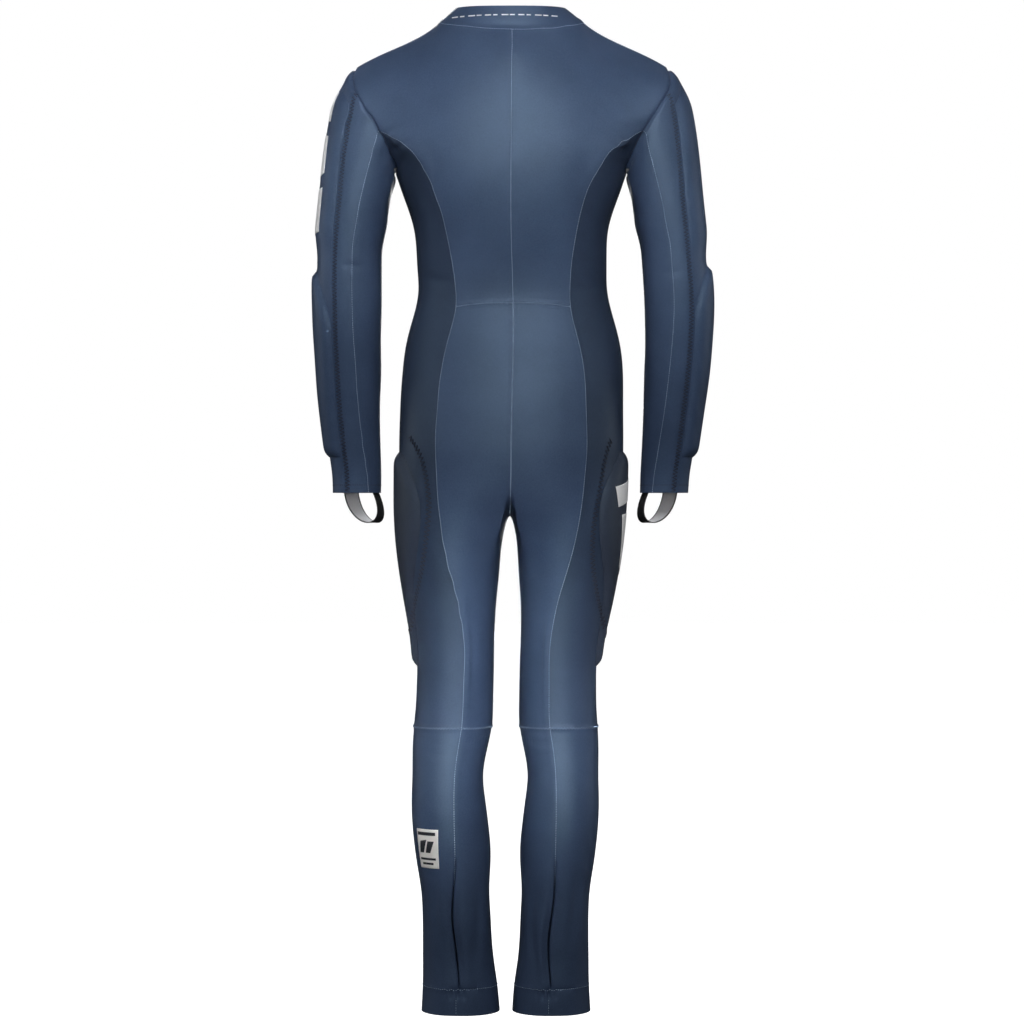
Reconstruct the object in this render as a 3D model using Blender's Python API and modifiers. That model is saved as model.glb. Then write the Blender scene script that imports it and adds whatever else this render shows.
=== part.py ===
"""A ski race suit, shaped as it is worn: a thin, hollow, close-fitting shell of sewn panels.

Metres, +Z up. The wearer faces +Y, and their right hand is at +X. The origin is midway between the
shoulders, at the height of the middle of the shoulder line, where the wearer holds the suit up.

One continuous skin is worked out from section tables: a torso of level rings, a yoke over the
shoulders, two legs, two sleeves and a collar. It is then cut along its seams into panels, and each
panel becomes a closed wall of cloth with a fine gap to its neighbours.
"""

import math

import bmesh
import bpy
from mathutils import Matrix, Vector

for old in list(bpy.data.objects):
    bpy.data.objects.remove(old)
suit_collection = bpy.data.collections.new("ski_race_suit")
bpy.context.scene.collection.children.link(suit_collection)

# Cloth and seams
CLOTH = 0.0015
SEAM_GAP = 0.0003
LAY_GAP = 0.0003  # between a panel and what lies on it

# Levels of the main seams and edges, measured down from the shoulders
ARMPIT_Z = -0.170
WAIST_SEAM_Z = -0.364
HIP_PAD_TOP_Z = -0.563
FORK_Z = -0.600  # where the torso's rings end and the legs' rings begin
THIGH_Z = -0.740  # the first level ring of a leg
HIP_PAD_FOOT_Z = -0.861
KNEE_SEAM_Z = -0.946
PATCH_TOP_Z = -1.082
PATCH_FOOT_Z = -1.139
HEM_BAND_Z = -1.306
HEM_Z = -1.343
UPPER_ARM_Z = -0.250  # the first level ring of a sleeve
ELBOW_Z = -0.300
FOREARM_PAD_FOOT_Z = -0.570
CUFF_Z = -0.620
CROTCH_Z = -0.652

# Columns of the skin, counted round one half of the torso from the centre of the back
CENTRE_BACK = 0
BACK_SEAM = 5
PAD_BACK = 7
PAD_FRONT = 11
FRONT_SEAM = 13
ZIP_EDGE = 18
CENTRE_FRONT = 19
CROTCH_COLUMNS = 6
LEG_COLUMNS = CENTRE_FRONT + CROTCH_COLUMNS
INSEAM = CENTRE_FRONT + CROTCH_COLUMNS // 2
NECK_BACK_COLUMNS = 4
SHOULDER_COLUMNS = 3
NECK_FRONT_COLUMNS = CENTRE_FRONT - PAD_FRONT - SHOULDER_COLUMNS

# Rows of the yoke, from the armpit up to the shoulder, as shares of its height
YOKE_SHARES = (0.0, 0.1, 0.2, 0.3, 0.44, 0.58, 0.72, 0.86, 1.0)
YOKE_TOP = len(YOKE_SHARES) - 1
SIDE_PANEL_TOP = 3  # the yoke row where the side panels end, at the armhole
SLEEVE_STRIP_TOP = 5  # the yoke row where the padded sleeve strip begins
SLEEVE_COLUMNS = 2 * YOKE_TOP + PAD_FRONT - PAD_BACK

# Zip
ZIP_HALF_WIDTH = 0.006
ZIP_FOOT_Z = -0.506

TORSO_SQUARENESS = 2.5
LIMB_SQUARENESS = 2.1


class Sections:
    """A table of garment sections with named columns, read at any height along smooth curves."""

    def __init__(self, columns, rows):
        names = columns.split()
        self.heights = [row[0] for row in rows]
        self.columns = {name: [row[i] for row in rows] for i, name in enumerate(names)}

    def slopes(self, values):
        """The slope at each row, flat where the values turn, so that a curve never overshoots."""
        steps = [
            (values[i + 1] - values[i]) / (self.heights[i + 1] - self.heights[i])
            for i in range(len(values) - 1)
        ]
        inner = []
        for before, after in zip(steps, steps[1:]):
            same_way = before * after > 0
            inner.append(2 * before * after / (before + after) if same_way else 0.0)
        return [steps[0], *inner, steps[-1]]

    def at(self, name, z):
        values = self.columns[name]
        if z >= self.heights[0]:
            return values[0]
        if z <= self.heights[-1]:
            return values[-1]
        i = max(k for k, height in enumerate(self.heights) if height >= z)
        i = min(i, len(values) - 2)
        span = self.heights[i + 1] - self.heights[i]
        t = (z - self.heights[i]) / span
        slopes = self.slopes(values)
        return hermite(values[i], values[i + 1], slopes[i] * span, slopes[i + 1] * span, t)


def hermite(start, end, start_slope, end_slope, t):
    """A cubic curve from start to end, which may be numbers or vectors."""
    return (
        start * (2 * t**3 - 3 * t**2 + 1)
        + start_slope * (t**3 - 2 * t**2 + t)
        + end * (3 * t**2 - 2 * t**3)
        + end_slope * (t**3 - t**2)
    )


# Torso: the half width, how far the cloth lies behind and in front of the side line, the distance of
# the back panel seam and of the hip pad's edge from the centre plane, and the front seam's angle.
TORSO = Sections(
    "z half_width back front seam edge front_seam",
    (
        (-0.170, 0.1630, 0.108, 0.112, 0.1235, 0.1605, 140),
        (-0.200, 0.1525, 0.106, 0.115, 0.1070, 0.1440, 142),
        (-0.231, 0.1415, 0.101, 0.114, 0.0967, 0.1300, 144),
        (-0.261, 0.1345, 0.095, 0.110, 0.0896, 0.1210, 147),
        (-0.297, 0.1325, 0.086, 0.104, 0.0830, 0.1185, 150),
        (-0.335, 0.1320, 0.079, 0.099, 0.0788, 0.1178, 151),
        (-0.364, 0.1370, 0.079, 0.097, 0.0786, 0.1220, 150),
        (-0.398, 0.1463, 0.085, 0.097, 0.0860, 0.1300, 148),
        (-0.428, 0.1520, 0.093, 0.097, 0.0934, 0.1350, 146),
        (-0.467, 0.1550, 0.104, 0.096, 0.0995, 0.1385, 144),
        (-0.505, 0.1560, 0.112, 0.094, 0.1016, 0.1410, 142),
        (-0.549, 0.1568, 0.117, 0.091, 0.1036, 0.1470, 140),
        (-0.563, 0.1567, 0.118, 0.090, 0.1032, 0.1495, 140),
        (-0.600, 0.1563, 0.115, 0.088, 0.1012, 0.1335, 140),
    ),
)

# Legs: how far the middle of each lies from the centre plane, its half width, its depth behind and in
# front, and the angles of the back seam, the pad's edge and the front seam, from straight behind.
LEG = Sections(
    "z centre half_width back front seam edge front_seam",
    (
        (-0.672, 0.0795, 0.0735, 0.096, 0.085, 11, 33, 150),
        (-0.711, 0.0800, 0.0688, 0.092, 0.083, 4, 43, 153),
        (-0.770, 0.0780, 0.0610, 0.084, 0.079, -9, 60, 158),
        (-0.829, 0.0734, 0.0549, 0.075, 0.073, -15, 68, 163),
        (-0.868, 0.0718, 0.0537, 0.069, 0.069, -14, 69, 166),
        (-0.927, 0.0726, 0.0543, 0.061, 0.064, -13, 50, 170),
        (-0.949, 0.0743, 0.0546, 0.059, 0.063, -13, 45, 172),
        (-0.966, 0.0761, 0.0536, 0.059, 0.061, -12, 42, 174),
        (-1.005, 0.0806, 0.0497, 0.062, 0.056, -12, 40, 178),
        (-1.025, 0.0803, 0.0494, 0.066, 0.052, -11, 39, 180),
        (-1.064, 0.0783, 0.0528, 0.071, 0.047, -8, 39, 180),
        (-1.103, 0.0744, 0.0531, 0.072, 0.044, -5, 39, 180),
        (-1.142, 0.0717, 0.0509, 0.069, 0.042, -3, 39, 180),
        (-1.182, 0.0697, 0.0473, 0.064, 0.041, -1, 40, 180),
        (-1.221, 0.0679, 0.0476, 0.060, 0.042, 0, 42, 180),
        (-1.260, 0.0672, 0.0490, 0.058, 0.044, 0, 43, 180),
        (-1.299, 0.0640, 0.0515, 0.058, 0.048, 0, 43, 180),
        (-1.319, 0.0644, 0.0532, 0.059, 0.050, 0, 43, 180),
        (-1.343, 0.0634, 0.0543, 0.059, 0.052, 0, 43, 180),
    ),
)

# How far the stance carries each level aside of the shoulders, to the wearer's right
LEAN = Sections(
    "z aside",
    (
        (0.060, -0.0010),
        (0.010, 0.0020),
        (-0.030, 0.0010),
        (-0.230, 0.0),
        (-0.300, 0.0012),
        (-0.360, 0.0030),
        (-0.430, 0.0028),
        (-0.500, 0.0010),
        (-0.600, -0.0003),
        (-0.672, -0.0020),
        (-0.770, -0.0035),
        (-0.868, -0.0060),
        (-0.966, -0.0075),
        (-1.050, -0.0080),
        (-1.343, -0.0070),
    ),
)

# The shallow fold that the lower leg's slack cloth makes along its back seam
CALF_FOLD = Sections(
    "z depth",
    (
        (-1.110, 0.0),
        (-1.160, 0.0025),
        (-1.230, 0.0060),
        (-1.280, 0.0050),
        (-1.306, 0.0010),
    ),
)

# Sleeves: the middle of each, its half width and half depth, and the angle of its thin back seam.
SLEEVE = Sections(
    "z centre_x centre_y half_width half_depth seam",
    (
        (-0.250, 0.2213, -0.008, 0.0475, 0.0520, -8),
        (-0.280, 0.2255, -0.009, 0.0452, 0.0495, -7),
        (-0.300, 0.2266, -0.010, 0.0450, 0.0480, -7),
        (-0.339, 0.2285, -0.009, 0.0456, 0.0470, -7),
        (-0.378, 0.2289, -0.006, 0.0448, 0.0465, -8),
        (-0.417, 0.2282, -0.001, 0.0434, 0.0455, -10),
        (-0.456, 0.2265, 0.005, 0.0424, 0.0440, -12),
        (-0.496, 0.2249, 0.012, 0.0399, 0.0415, -15),
        (-0.535, 0.2220, 0.019, 0.0378, 0.0385, -20),
        (-0.554, 0.2212, 0.022, 0.0368, 0.0370, -22),
        (-0.574, 0.2188, 0.025, 0.0358, 0.0350, -25),
        (-0.594, 0.2172, 0.028, 0.0347, 0.0335, -28),
        (-0.620, 0.2165, 0.030, 0.0340, 0.0325, -31),
    ),
)
STRIP_EDGE_ANGLE = 30  # the padded strip's back edge on the sleeve, from straight behind

# The armhole's back and front edges, row by row up the yoke, above the armpit
ARMHOLE = Sections(
    "row x back front z",
    (
        (0, 0.1605, -0.030, 0.030, -0.170),
        (-1, 0.1680, -0.046, 0.044, -0.154),
        (-2, 0.1755, -0.055, 0.052, -0.138),
        (-3, 0.1840, -0.059, 0.056, -0.121),
        (-4, 0.2030, -0.058, 0.053, -0.089),
        (-5, 0.2185, -0.045, 0.042, -0.062),
        (-6, 0.2220, -0.032, 0.030, -0.045),
        (-7, 0.2215, -0.017, 0.015, -0.033),
        (-8, 0.2195, -0.002, -0.002, -0.0272),
    ),
)

# The neck seam and the collar's top edge, as level ovals that dip at the back and front
NECK_SEAM = {
    "half_width": 0.104,
    "back": 0.066,
    "front": 0.072,
    "side_z": 0.035,
    "back_z": 0.019,
    "front_z": -0.034,
}
COLLAR_TOP = {
    "half_width": 0.078,
    "back": 0.056,
    "front": 0.060,
    "side_z": 0.0565,
    "back_z": 0.0530,
    "front_z": 0.010,
}
COLLAR_ROWS = 3
SHOULDER_Y = -0.002
WAIST_ARCH = 0.005  # how far the waist seam rises towards the centre of the back
# The shoulder line between the neck and the armhole: distance from the centre plane, and height
SHOULDER_LINE = ((0.140, 0.0125), (0.181, -0.0056))
# Where the back panel seam turns out to the armhole, and how far round that the yoke's cloth follows
SEAM_TURN = Vector((0.012, 0.003, -0.023))
SEAM_TURN_REACH = 3

# Pads: the thickness of each, the lip of cloth at its edge and the width of its sloping side
HIP_PAD = 0.0072
UPPER_ARM_PAD = 0.0040
FOREARM_PAD = 0.0068
PAD_LIP = 0.0009
PAD_SLOPE = 0.0070
PAD_MARGIN = 0.0012
PAD_SHOULDER = 0.75  # the share of its thickness that a pad has at the top of its sloping side
PATCH_THICKNESS = 0.0008
HEM_BAND_PROUD = 0.0005

# Hand loops: elastic tape from inside one side of a cuff to the other
LOOP_WIDTH = 0.017
LOOP_THICKNESS = 0.0012
LOOP_DROP = 0.042
LOOP_BULGE = 0.055
LOOP_TUCK = 0.014  # how far each end is sewn up inside the cuff
LOOP_ANGLES = (161, -86)  # where on the cuff the two ends are sewn, from straight behind
LOOP_INSET = 0.0037
LOOP_STATIONS = 14

# Zip slider and its pull tab, on the collar
SLIDER_WIDTH = 0.0086
SLIDER_LENGTH = 0.0110
SLIDER_HEIGHT = 0.0024
SLIDER_DOWN = 0.0140  # its middle, below the collar's top edge
LUG_WIDTH = 0.0014
LUG_HEIGHT = 0.0034
LUG_LENGTH = 0.0040
PIN_RADIUS = 0.0006
TAB_WIDTH = 0.0040
TAB_LENGTH = 0.0260
TAB_THICKNESS = 0.0014
TAB_EYE_RADIUS = 0.0016
TAB_HOLE_RADIUS = 0.0009
TAB_END_WIDTH = 0.0074
TAB_LEAN = 6  # degrees, in towards the zip, so that its end lies on the teeth

# Colour, roughness and metallic value of each finish
FINISHES = {
    "stretch_knit": ((0.035, 0.058, 0.105, 1), 0.55, 0.0),
    "padded_knit": ((0.022, 0.032, 0.058, 1), 0.55, 0.0),
    "elastic": ((0.20, 0.21, 0.22, 1), 0.8, 0.0),
    "zip_tape": ((0.012, 0.014, 0.020, 1), 0.7, 0.0),
    "zip_metal": ((0.10, 0.11, 0.12, 1), 0.35, 0.8),
    "patch": ((0.72, 0.70, 0.66, 1), 0.5, 0.0),
}


def power(value, exponent):
    return math.copysign(abs(value) ** exponent, value)


def oval_point(half_width, back, front, angle, squareness):
    """A point on a rounded section. Angle 0 is straight behind, 90 degrees out to the side."""
    across = half_width * power(math.sin(angle), 2 / squareness)
    along = power(math.cos(angle), 2 / squareness)
    return across, -(back if along > 0 else front) * along


def angle_at(distance, half_width, squareness):
    """The angle on the back of a section where it lies this far out to the side."""
    share = min(distance / half_width, 0.995)
    return math.asin(share ** (squareness / 2))


def spread(anchors, column):
    """The angle of a column, evenly spaced between the columns whose angles are given."""
    for (low, start), (high, end) in zip(anchors, anchors[1:]):
        if column <= high:
            return start + (end - start) * (column - low) / (high - low)
    return anchors[-1][1]


def torso_point(column, z):
    width = TORSO.at("half_width", z)
    edge = angle_at(TORSO.at("edge", z), width, TORSO_SQUARENESS)
    zip_edge = math.pi - angle_at(ZIP_HALF_WIDTH, width, TORSO_SQUARENESS)
    anchors = (
        (CENTRE_BACK, 0.0),
        (BACK_SEAM, angle_at(TORSO.at("seam", z), width, TORSO_SQUARENESS)),
        (PAD_BACK, edge),
        (PAD_FRONT, math.pi - edge),
        (FRONT_SEAM, math.radians(TORSO.at("front_seam", z))),
        (ZIP_EDGE, zip_edge),
        (CENTRE_FRONT, math.pi),
    )
    angle = spread(anchors, column)
    x, y = oval_point(width, TORSO.at("back", z), TORSO.at("front", z), angle, TORSO_SQUARENESS)
    return Vector((x, y, z))


def leg_point(column, z):
    """A point on a leg's level ring. Columns past the centre front run back along the inner leg."""
    if column > INSEAM:
        column -= LEG_COLUMNS
    edge = LEG.at("edge", z)
    anchors = (
        (INSEAM - LEG_COLUMNS, -90),
        (BACK_SEAM, LEG.at("seam", z)),
        (PAD_BACK, edge),
        (PAD_FRONT, 180 - edge),
        (FRONT_SEAM, LEG.at("front_seam", z)),
        (INSEAM, 270),
    )
    angle = math.radians(spread(anchors, column))
    back = LEG.at("back", z)
    front = LEG.at("front", z)
    half_depth = (back + front) / 2
    x, y = oval_point(LEG.at("half_width", z), half_depth, half_depth, angle, LIMB_SQUARENESS)
    if column == BACK_SEAM:
        y += CALF_FOLD.at("depth", z)
    return Vector((LEG.at("centre", z) + x, y + (front - back) / 2, z))


def crotch_point(column):
    """A point on the seam under the body, from the centre front back to the centre back."""
    angle = math.pi * (column - CENTRE_FRONT) / CROTCH_COLUMNS
    back = TORSO.at("back", FORK_Z)
    front = TORSO.at("front", FORK_Z)
    y = (front - back) / 2 + (front + back) / 2 * math.cos(angle)
    return Vector((0, y, FORK_Z + (CROTCH_Z - FORK_Z) * math.sin(angle) ** 0.8))


def leg_top_point(column, t):
    """A point between the fork and the first level ring of a leg, a share t of the way down."""
    step = 0.004
    if column <= CENTRE_FRONT:
        start = torso_point(column, FORK_Z)
        slope = (torso_point(column, FORK_Z + step) - start) / step
        slope.z = 1
        outward = max(0.0, 1 - min(column, CENTRE_FRONT - column) / 3)
        slope.x -= 0.25 * outward
    else:
        start = crotch_point(column)
        slope = Vector((-0.45, 0, 0.8))
    end = leg_point(column, THIGH_Z)
    end_slope = (leg_point(column, THIGH_Z + step) - end) / step
    drop = end.z - start.z
    return hermite(start, end, slope * drop, end_slope * drop, t)


def sleeve_point(column, z):
    """A point on a sleeve's level ring. Column 0 is the top of the shoulder, then down the back."""
    seam = SLEEVE.at("seam", z)
    strip = YOKE_TOP - SLEEVE_STRIP_TOP
    seam_column = YOKE_TOP - SIDE_PANEL_TOP
    anchors = (
        (0, 90),
        (strip, STRIP_EDGE_ANGLE),
        (seam_column, seam),
        (SLEEVE_COLUMNS - seam_column, -180 - seam),
        (SLEEVE_COLUMNS - strip, -180 - STRIP_EDGE_ANGLE),
        (SLEEVE_COLUMNS, -270),
    )
    angle = math.radians(spread(anchors, column))
    depth = SLEEVE.at("half_depth", z)
    x, y = oval_point(SLEEVE.at("half_width", z), depth, depth, angle, LIMB_SQUARENESS)
    return Vector((SLEEVE.at("centre_x", z) + x, SLEEVE.at("centre_y", z) + y, z))


def sleeve_top_point(start, column, t):
    """A point between the armhole and the first level ring of a sleeve, a share t of the way down."""
    end = sleeve_point(column, UPPER_ARM_Z)
    height = (start.z - ARMPIT_Z) / (ARMHOLE.at("z", -YOKE_TOP) - ARMPIT_Z)
    leave = Vector((0.15, 0, -1)).lerp(Vector((0.85, 0, -0.53)), height**3).normalized()
    chord = (end - start).length
    return hermite(start, end, leave * chord * 0.55, Vector((0.12 * chord, 0, -chord)), t)


def neck_point(oval, column):
    """A point on the neck seam or the collar's top edge, by its column in the yoke."""
    if column <= NECK_BACK_COLUMNS:
        angle = math.pi / 2 * column / NECK_BACK_COLUMNS
    elif column == CENTRE_FRONT:
        angle = math.pi
    else:
        first = CENTRE_FRONT - NECK_FRONT_COLUMNS
        zip_edge = math.pi - angle_at(ZIP_HALF_WIDTH, oval["half_width"], LIMB_SQUARENESS)
        angle = math.pi / 2 + (zip_edge - math.pi / 2) * (column - first) / (ZIP_EDGE - first)
    x, y = oval_point(oval["half_width"], oval["back"], oval["front"], angle, LIMB_SQUARENESS)
    end_z = oval["back_z"] if y < 0 else oval["front_z"]
    depth = oval["back"] if y < 0 else oval["front"]
    return Vector((x, y, oval["side_z"] + (end_z - oval["side_z"]) * (y / depth) ** 2))


def yoke_top_point(column):
    """A point on the yoke's top edge: the neck seam, and then the shoulder line out to the armhole."""
    if column <= NECK_BACK_COLUMNS or column >= CENTRE_FRONT - NECK_FRONT_COLUMNS:
        return neck_point(NECK_SEAM, column)
    step = column - NECK_BACK_COLUMNS if column <= PAD_BACK else PAD_FRONT + SHOULDER_COLUMNS - column
    if step == SHOULDER_COLUMNS:
        return armhole_point(YOKE_TOP, "back")
    x, z = SHOULDER_LINE[step - 1]
    return Vector((x, SHOULDER_Y, z))


def armhole_point(row, face):
    return Vector((ARMHOLE.at("x", -row), ARMHOLE.at(face, -row), ARMHOLE.at("z", -row)))


def centre_point(column, row):
    """A point on the centre back or centre front line of the yoke, which curves in to the neck."""
    foot = torso_point(column, ARMPIT_Z)
    top = yoke_top_point(column)
    share = YOKE_SHARES[row]
    bulge = math.sqrt(1 - share**2)
    return Vector((0, top.y + (foot.y - top.y) * bulge, foot.z + (top.z - foot.z) * share))


def yoke_point(column, row):
    """A point of the yoke, blended from its four edges."""
    face = "back" if column <= PAD_BACK else "front"
    centre, side = (CENTRE_BACK, PAD_BACK) if face == "back" else (CENTRE_FRONT, PAD_FRONT)
    if row == 0:
        return torso_point(column, ARMPIT_Z)
    if row == YOKE_TOP:
        return yoke_top_point(column)
    if column == side:
        return armhole_point(row, face)
    if column == centre:
        return centre_point(column, row)
    u = abs(column - centre) / abs(side - centre)
    v = YOKE_SHARES[row]
    across = centre_point(centre, row).lerp(armhole_point(row, face), u)
    up = torso_point(column, ARMPIT_Z).lerp(yoke_top_point(column), v)
    foot = torso_point(centre, ARMPIT_Z).lerp(torso_point(side, ARMPIT_Z), u)
    head = yoke_top_point(centre).lerp(armhole_point(YOKE_TOP, face), u)
    blended = across + up - foot.lerp(head, v)
    turn_column = BACK_SEAM if face == "back" else FRONT_SEAM
    away = max(abs(column - turn_column), abs(row - SIDE_PANEL_TOP))
    turn = Vector(SEAM_TURN)
    if face == "front":
        turn.y = -turn.y
    return blended + turn * max(0.0, 1 - away / SEAM_TURN_REACH)


def levels(*stops):
    """Heights from the first stop to the last. Each further stop gives its height and its row count."""
    found = [stops[0]]
    for height, count in stops[1:]:
        start = found[-1]
        found += [start + (height - start) * (i + 1) / count for i in range(count)]
    return found


TORSO_LEVELS = levels(FORK_Z, (HIP_PAD_TOP_Z, 1), (ZIP_FOOT_Z, 2), (WAIST_SEAM_Z, 5), (ARMPIT_Z, 7))
WAIST_ROW = 8
ZIP_FOOT_ROW = 3
LEG_TOP_ROWS = 4
LEG_LEVELS = levels(
    THIGH_Z,
    (HIP_PAD_FOOT_Z, 4),
    (KNEE_SEAM_Z, 3),
    (PATCH_TOP_Z, 4),
    (PATCH_FOOT_Z, 2),
    (HEM_BAND_Z, 5),
    (HEM_Z, 1),
)
PAD_FOOT_ROW = LEG_TOP_ROWS + 4
KNEE_ROW = PAD_FOOT_ROW + 3
PATCH_ROWS = (KNEE_ROW + 4, KNEE_ROW + 6)
HEM_BAND_ROW = KNEE_ROW + 11
SLEEVE_TOP_ROWS = 6
SLEEVE_LEVELS = levels(UPPER_ARM_Z, (ELBOW_Z, 2), (FOREARM_PAD_FOOT_Z, 9), (CUFF_Z, 2))
UPPER_PAD_ROWS = (1, SLEEVE_TOP_ROWS + 2)
FOREARM_PAD_ROWS = (SLEEVE_TOP_ROWS + 2, SLEEVE_TOP_ROWS + 11)
SIDES = {"left": -1, "right": 1}
# The two longest strips are each one cut piece, built in lengths so that none is long and curved
SIDE_LENGTHS = ("side_chest", "side_hip", "side_thigh", "side_knee")
SIDE_KNEE_ROW = LEG_TOP_ROWS + 2
OUTER_LENGTHS = (
    ("outer_shoulder", 4),
    ("outer_upper_arm", SLEEVE_TOP_ROWS + 2),
    ("outer_elbow", SLEEVE_TOP_ROWS + 7),
    ("outer_forearm", SLEEVE_TOP_ROWS + len(SLEEVE_LEVELS)),
)
PANELS = (
    "back",
    "seat",
    *SIDE_LENGTHS,
    "front",
    "sleeve_under",
    "sleeve_back",
    "sleeve_front",
    *(name for name, _ in OUTER_LENGTHS),
    "calf_inner",
    "calf_outer",
)


class Skin:
    """The suit's outer surface: points shared by neighbouring panels, and faces marked by panel."""

    def __init__(self):
        self.mesh = bmesh.new()
        self.points = {}
        self.quads = []

    def point(self, key, place):
        if key not in self.points:
            self.points[key] = self.mesh.verts.new(place)
        return self.points[key]

    def quad(self, corners, side, panel, pad=None):
        """A cell of the skin, as two triangles that every piece made from it shares."""
        a, b, c, d = corners if side > 0 else corners[::-1]
        faces = [self.mesh.faces.new((a, b, c)), self.mesh.faces.new((a, c, d))]
        self.quads.append((faces, panel, pad))

    def faces_of(self, panel):
        return [face for faces, name, _ in self.quads if name == panel for face in faces]

    def faces_under(self, pad):
        return [face for faces, _, name in self.quads if name == pad for face in faces]


def placed(side_name, point):
    """A point of the right half, on the side asked for, with the stance's lean."""
    side = SIDES[side_name]
    return Vector((side * point.x + LEAN.at("aside", point.z), point.y, point.z))


def torso_key(side_name, column, row):
    on_centre = column in (CENTRE_BACK, CENTRE_FRONT)
    return ("torso", "centre" if on_centre else side_name, column, row)


def yoke_key(side_name, column, row):
    if row == 0:
        return torso_key(side_name, column, len(TORSO_LEVELS) - 1)
    if row == YOKE_TOP and PAD_FRONT <= column <= PAD_FRONT + SHOULDER_COLUMNS:
        column = PAD_BACK - (column - PAD_FRONT)
    on_centre = column in (CENTRE_BACK, CENTRE_FRONT)
    return ("yoke", "centre" if on_centre else side_name, column, row)


def collar_key(side_name, column, row):
    if row == 0:
        return yoke_key(side_name, column, YOKE_TOP)
    on_centre = column in (CENTRE_BACK, CENTRE_FRONT)
    return ("collar", "centre" if on_centre else side_name, column, row)


def leg_key(side_name, column, row):
    column %= LEG_COLUMNS
    if row == 0 and column <= CENTRE_FRONT:
        return torso_key(side_name, column, 0)
    if row == 0:
        return ("crotch", column)
    return ("leg", side_name, column, row)


def sleeve_key(side_name, column, row):
    column %= SLEEVE_COLUMNS
    if row > 0:
        return ("sleeve", side_name, column, row)
    if column <= YOKE_TOP:
        return yoke_key(side_name, PAD_BACK, YOKE_TOP - column)
    if column < YOKE_TOP + PAD_FRONT - PAD_BACK:
        return torso_key(side_name, PAD_BACK + column - YOKE_TOP, len(TORSO_LEVELS) - 1)
    return yoke_key(side_name, PAD_FRONT, column - YOKE_TOP - PAD_FRONT + PAD_BACK)


def torso_panel(side_name, column, row):
    if column < BACK_SEAM:
        return f"{'seat' if row < WAIST_ROW else 'back'}_{side_name}"
    if column < FRONT_SEAM:
        return f"{'side_hip' if row < WAIST_ROW else 'side_chest'}_{side_name}"
    if column == ZIP_EDGE and row >= ZIP_FOOT_ROW:
        return f"zip_tape_{side_name}"
    return f"front_{side_name}"


def lay_torso(skin, side_name):
    side = SIDES[side_name]
    for row, level in enumerate(TORSO_LEVELS):
        for column in range(CENTRE_FRONT + 1):
            rise = WAIST_ARCH * (1 - (column / BACK_SEAM) ** 2) if row == WAIST_ROW else 0.0
            place = placed(side_name, torso_point(column, level + max(rise, 0.0)))
            skin.point(torso_key(side_name, column, row), place)
    for row in range(len(TORSO_LEVELS) - 1):
        for column in range(CENTRE_FRONT):
            corners = [
                skin.points[torso_key(side_name, column + i, row + j)]
                for i, j in ((0, 0), (1, 0), (1, 1), (0, 1))
            ]
            under_pad = row == 0 and PAD_BACK <= column < PAD_FRONT
            pad = f"hip_pad_{side_name}" if under_pad else None
            skin.quad(corners, side, torso_panel(side_name, column, row), pad)


def lay_yoke(skin, side_name):
    side = SIDES[side_name]
    for columns, outer_seam in (
        (range(CENTRE_BACK, PAD_BACK + 1), BACK_SEAM),
        (range(PAD_FRONT, CENTRE_FRONT + 1), FRONT_SEAM),
    ):
        for row in range(YOKE_TOP + 1):
            for column in columns:
                skin.point(yoke_key(side_name, column, row), placed(side_name, yoke_point(column, row)))
        for row in range(YOKE_TOP):
            for column in columns[:-1]:
                corners = [
                    skin.points[yoke_key(side_name, column + i, row + j)]
                    for i, j in ((0, 0), (1, 0), (1, 1), (0, 1))
                ]
                on_side = row < SIDE_PANEL_TOP and BACK_SEAM <= column < FRONT_SEAM
                if on_side:
                    panel = f"side_chest_{side_name}"
                elif outer_seam == BACK_SEAM:
                    panel = f"back_{side_name}"
                else:
                    panel = f"{'zip_tape' if column == ZIP_EDGE else 'front'}_{side_name}"
                skin.quad(corners, side, panel)


def lay_collar(skin, side_name):
    side = SIDES[side_name]
    back = list(range(NECK_BACK_COLUMNS + 1))
    front = list(range(CENTRE_FRONT - NECK_FRONT_COLUMNS, CENTRE_FRONT + 1))
    for row in range(COLLAR_ROWS + 1):
        for column in back + front:
            foot = neck_point(NECK_SEAM, column)
            top = neck_point(COLLAR_TOP, column)
            place = placed(side_name, foot.lerp(top, row / COLLAR_ROWS))
            skin.point(collar_key(side_name, column, row), place)
    for ring in (back, front):
        for row in range(COLLAR_ROWS):
            for column in ring[:-1]:
                corners = [
                    skin.points[shared_collar_key(side_name, column + i, row + j)]
                    for i, j in ((0, 0), (1, 0), (1, 1), (0, 1))
                ]
                panel = f"zip_tape_{side_name}" if column == ZIP_EDGE else "collar"
                skin.quad(corners, side, panel)


def shared_collar_key(side_name, column, row):
    """The collar's back and front columns meet at the top of the shoulder."""
    if column == CENTRE_FRONT - NECK_FRONT_COLUMNS:
        column = NECK_BACK_COLUMNS
    return collar_key(side_name, column, row)


def leg_panel(side_name, column, row):
    if row >= HEM_BAND_ROW:
        return f"hem_band_{side_name}"
    if row >= KNEE_ROW:
        return f"{'calf_outer' if BACK_SEAM <= column < FRONT_SEAM else 'calf_inner'}_{side_name}"
    if BACK_SEAM <= column < FRONT_SEAM:
        return f"{'side_thigh' if row < SIDE_KNEE_ROW else 'side_knee'}_{side_name}"
    return f"{'front' if FRONT_SEAM <= column < INSEAM else 'seat'}_{side_name}"


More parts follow.
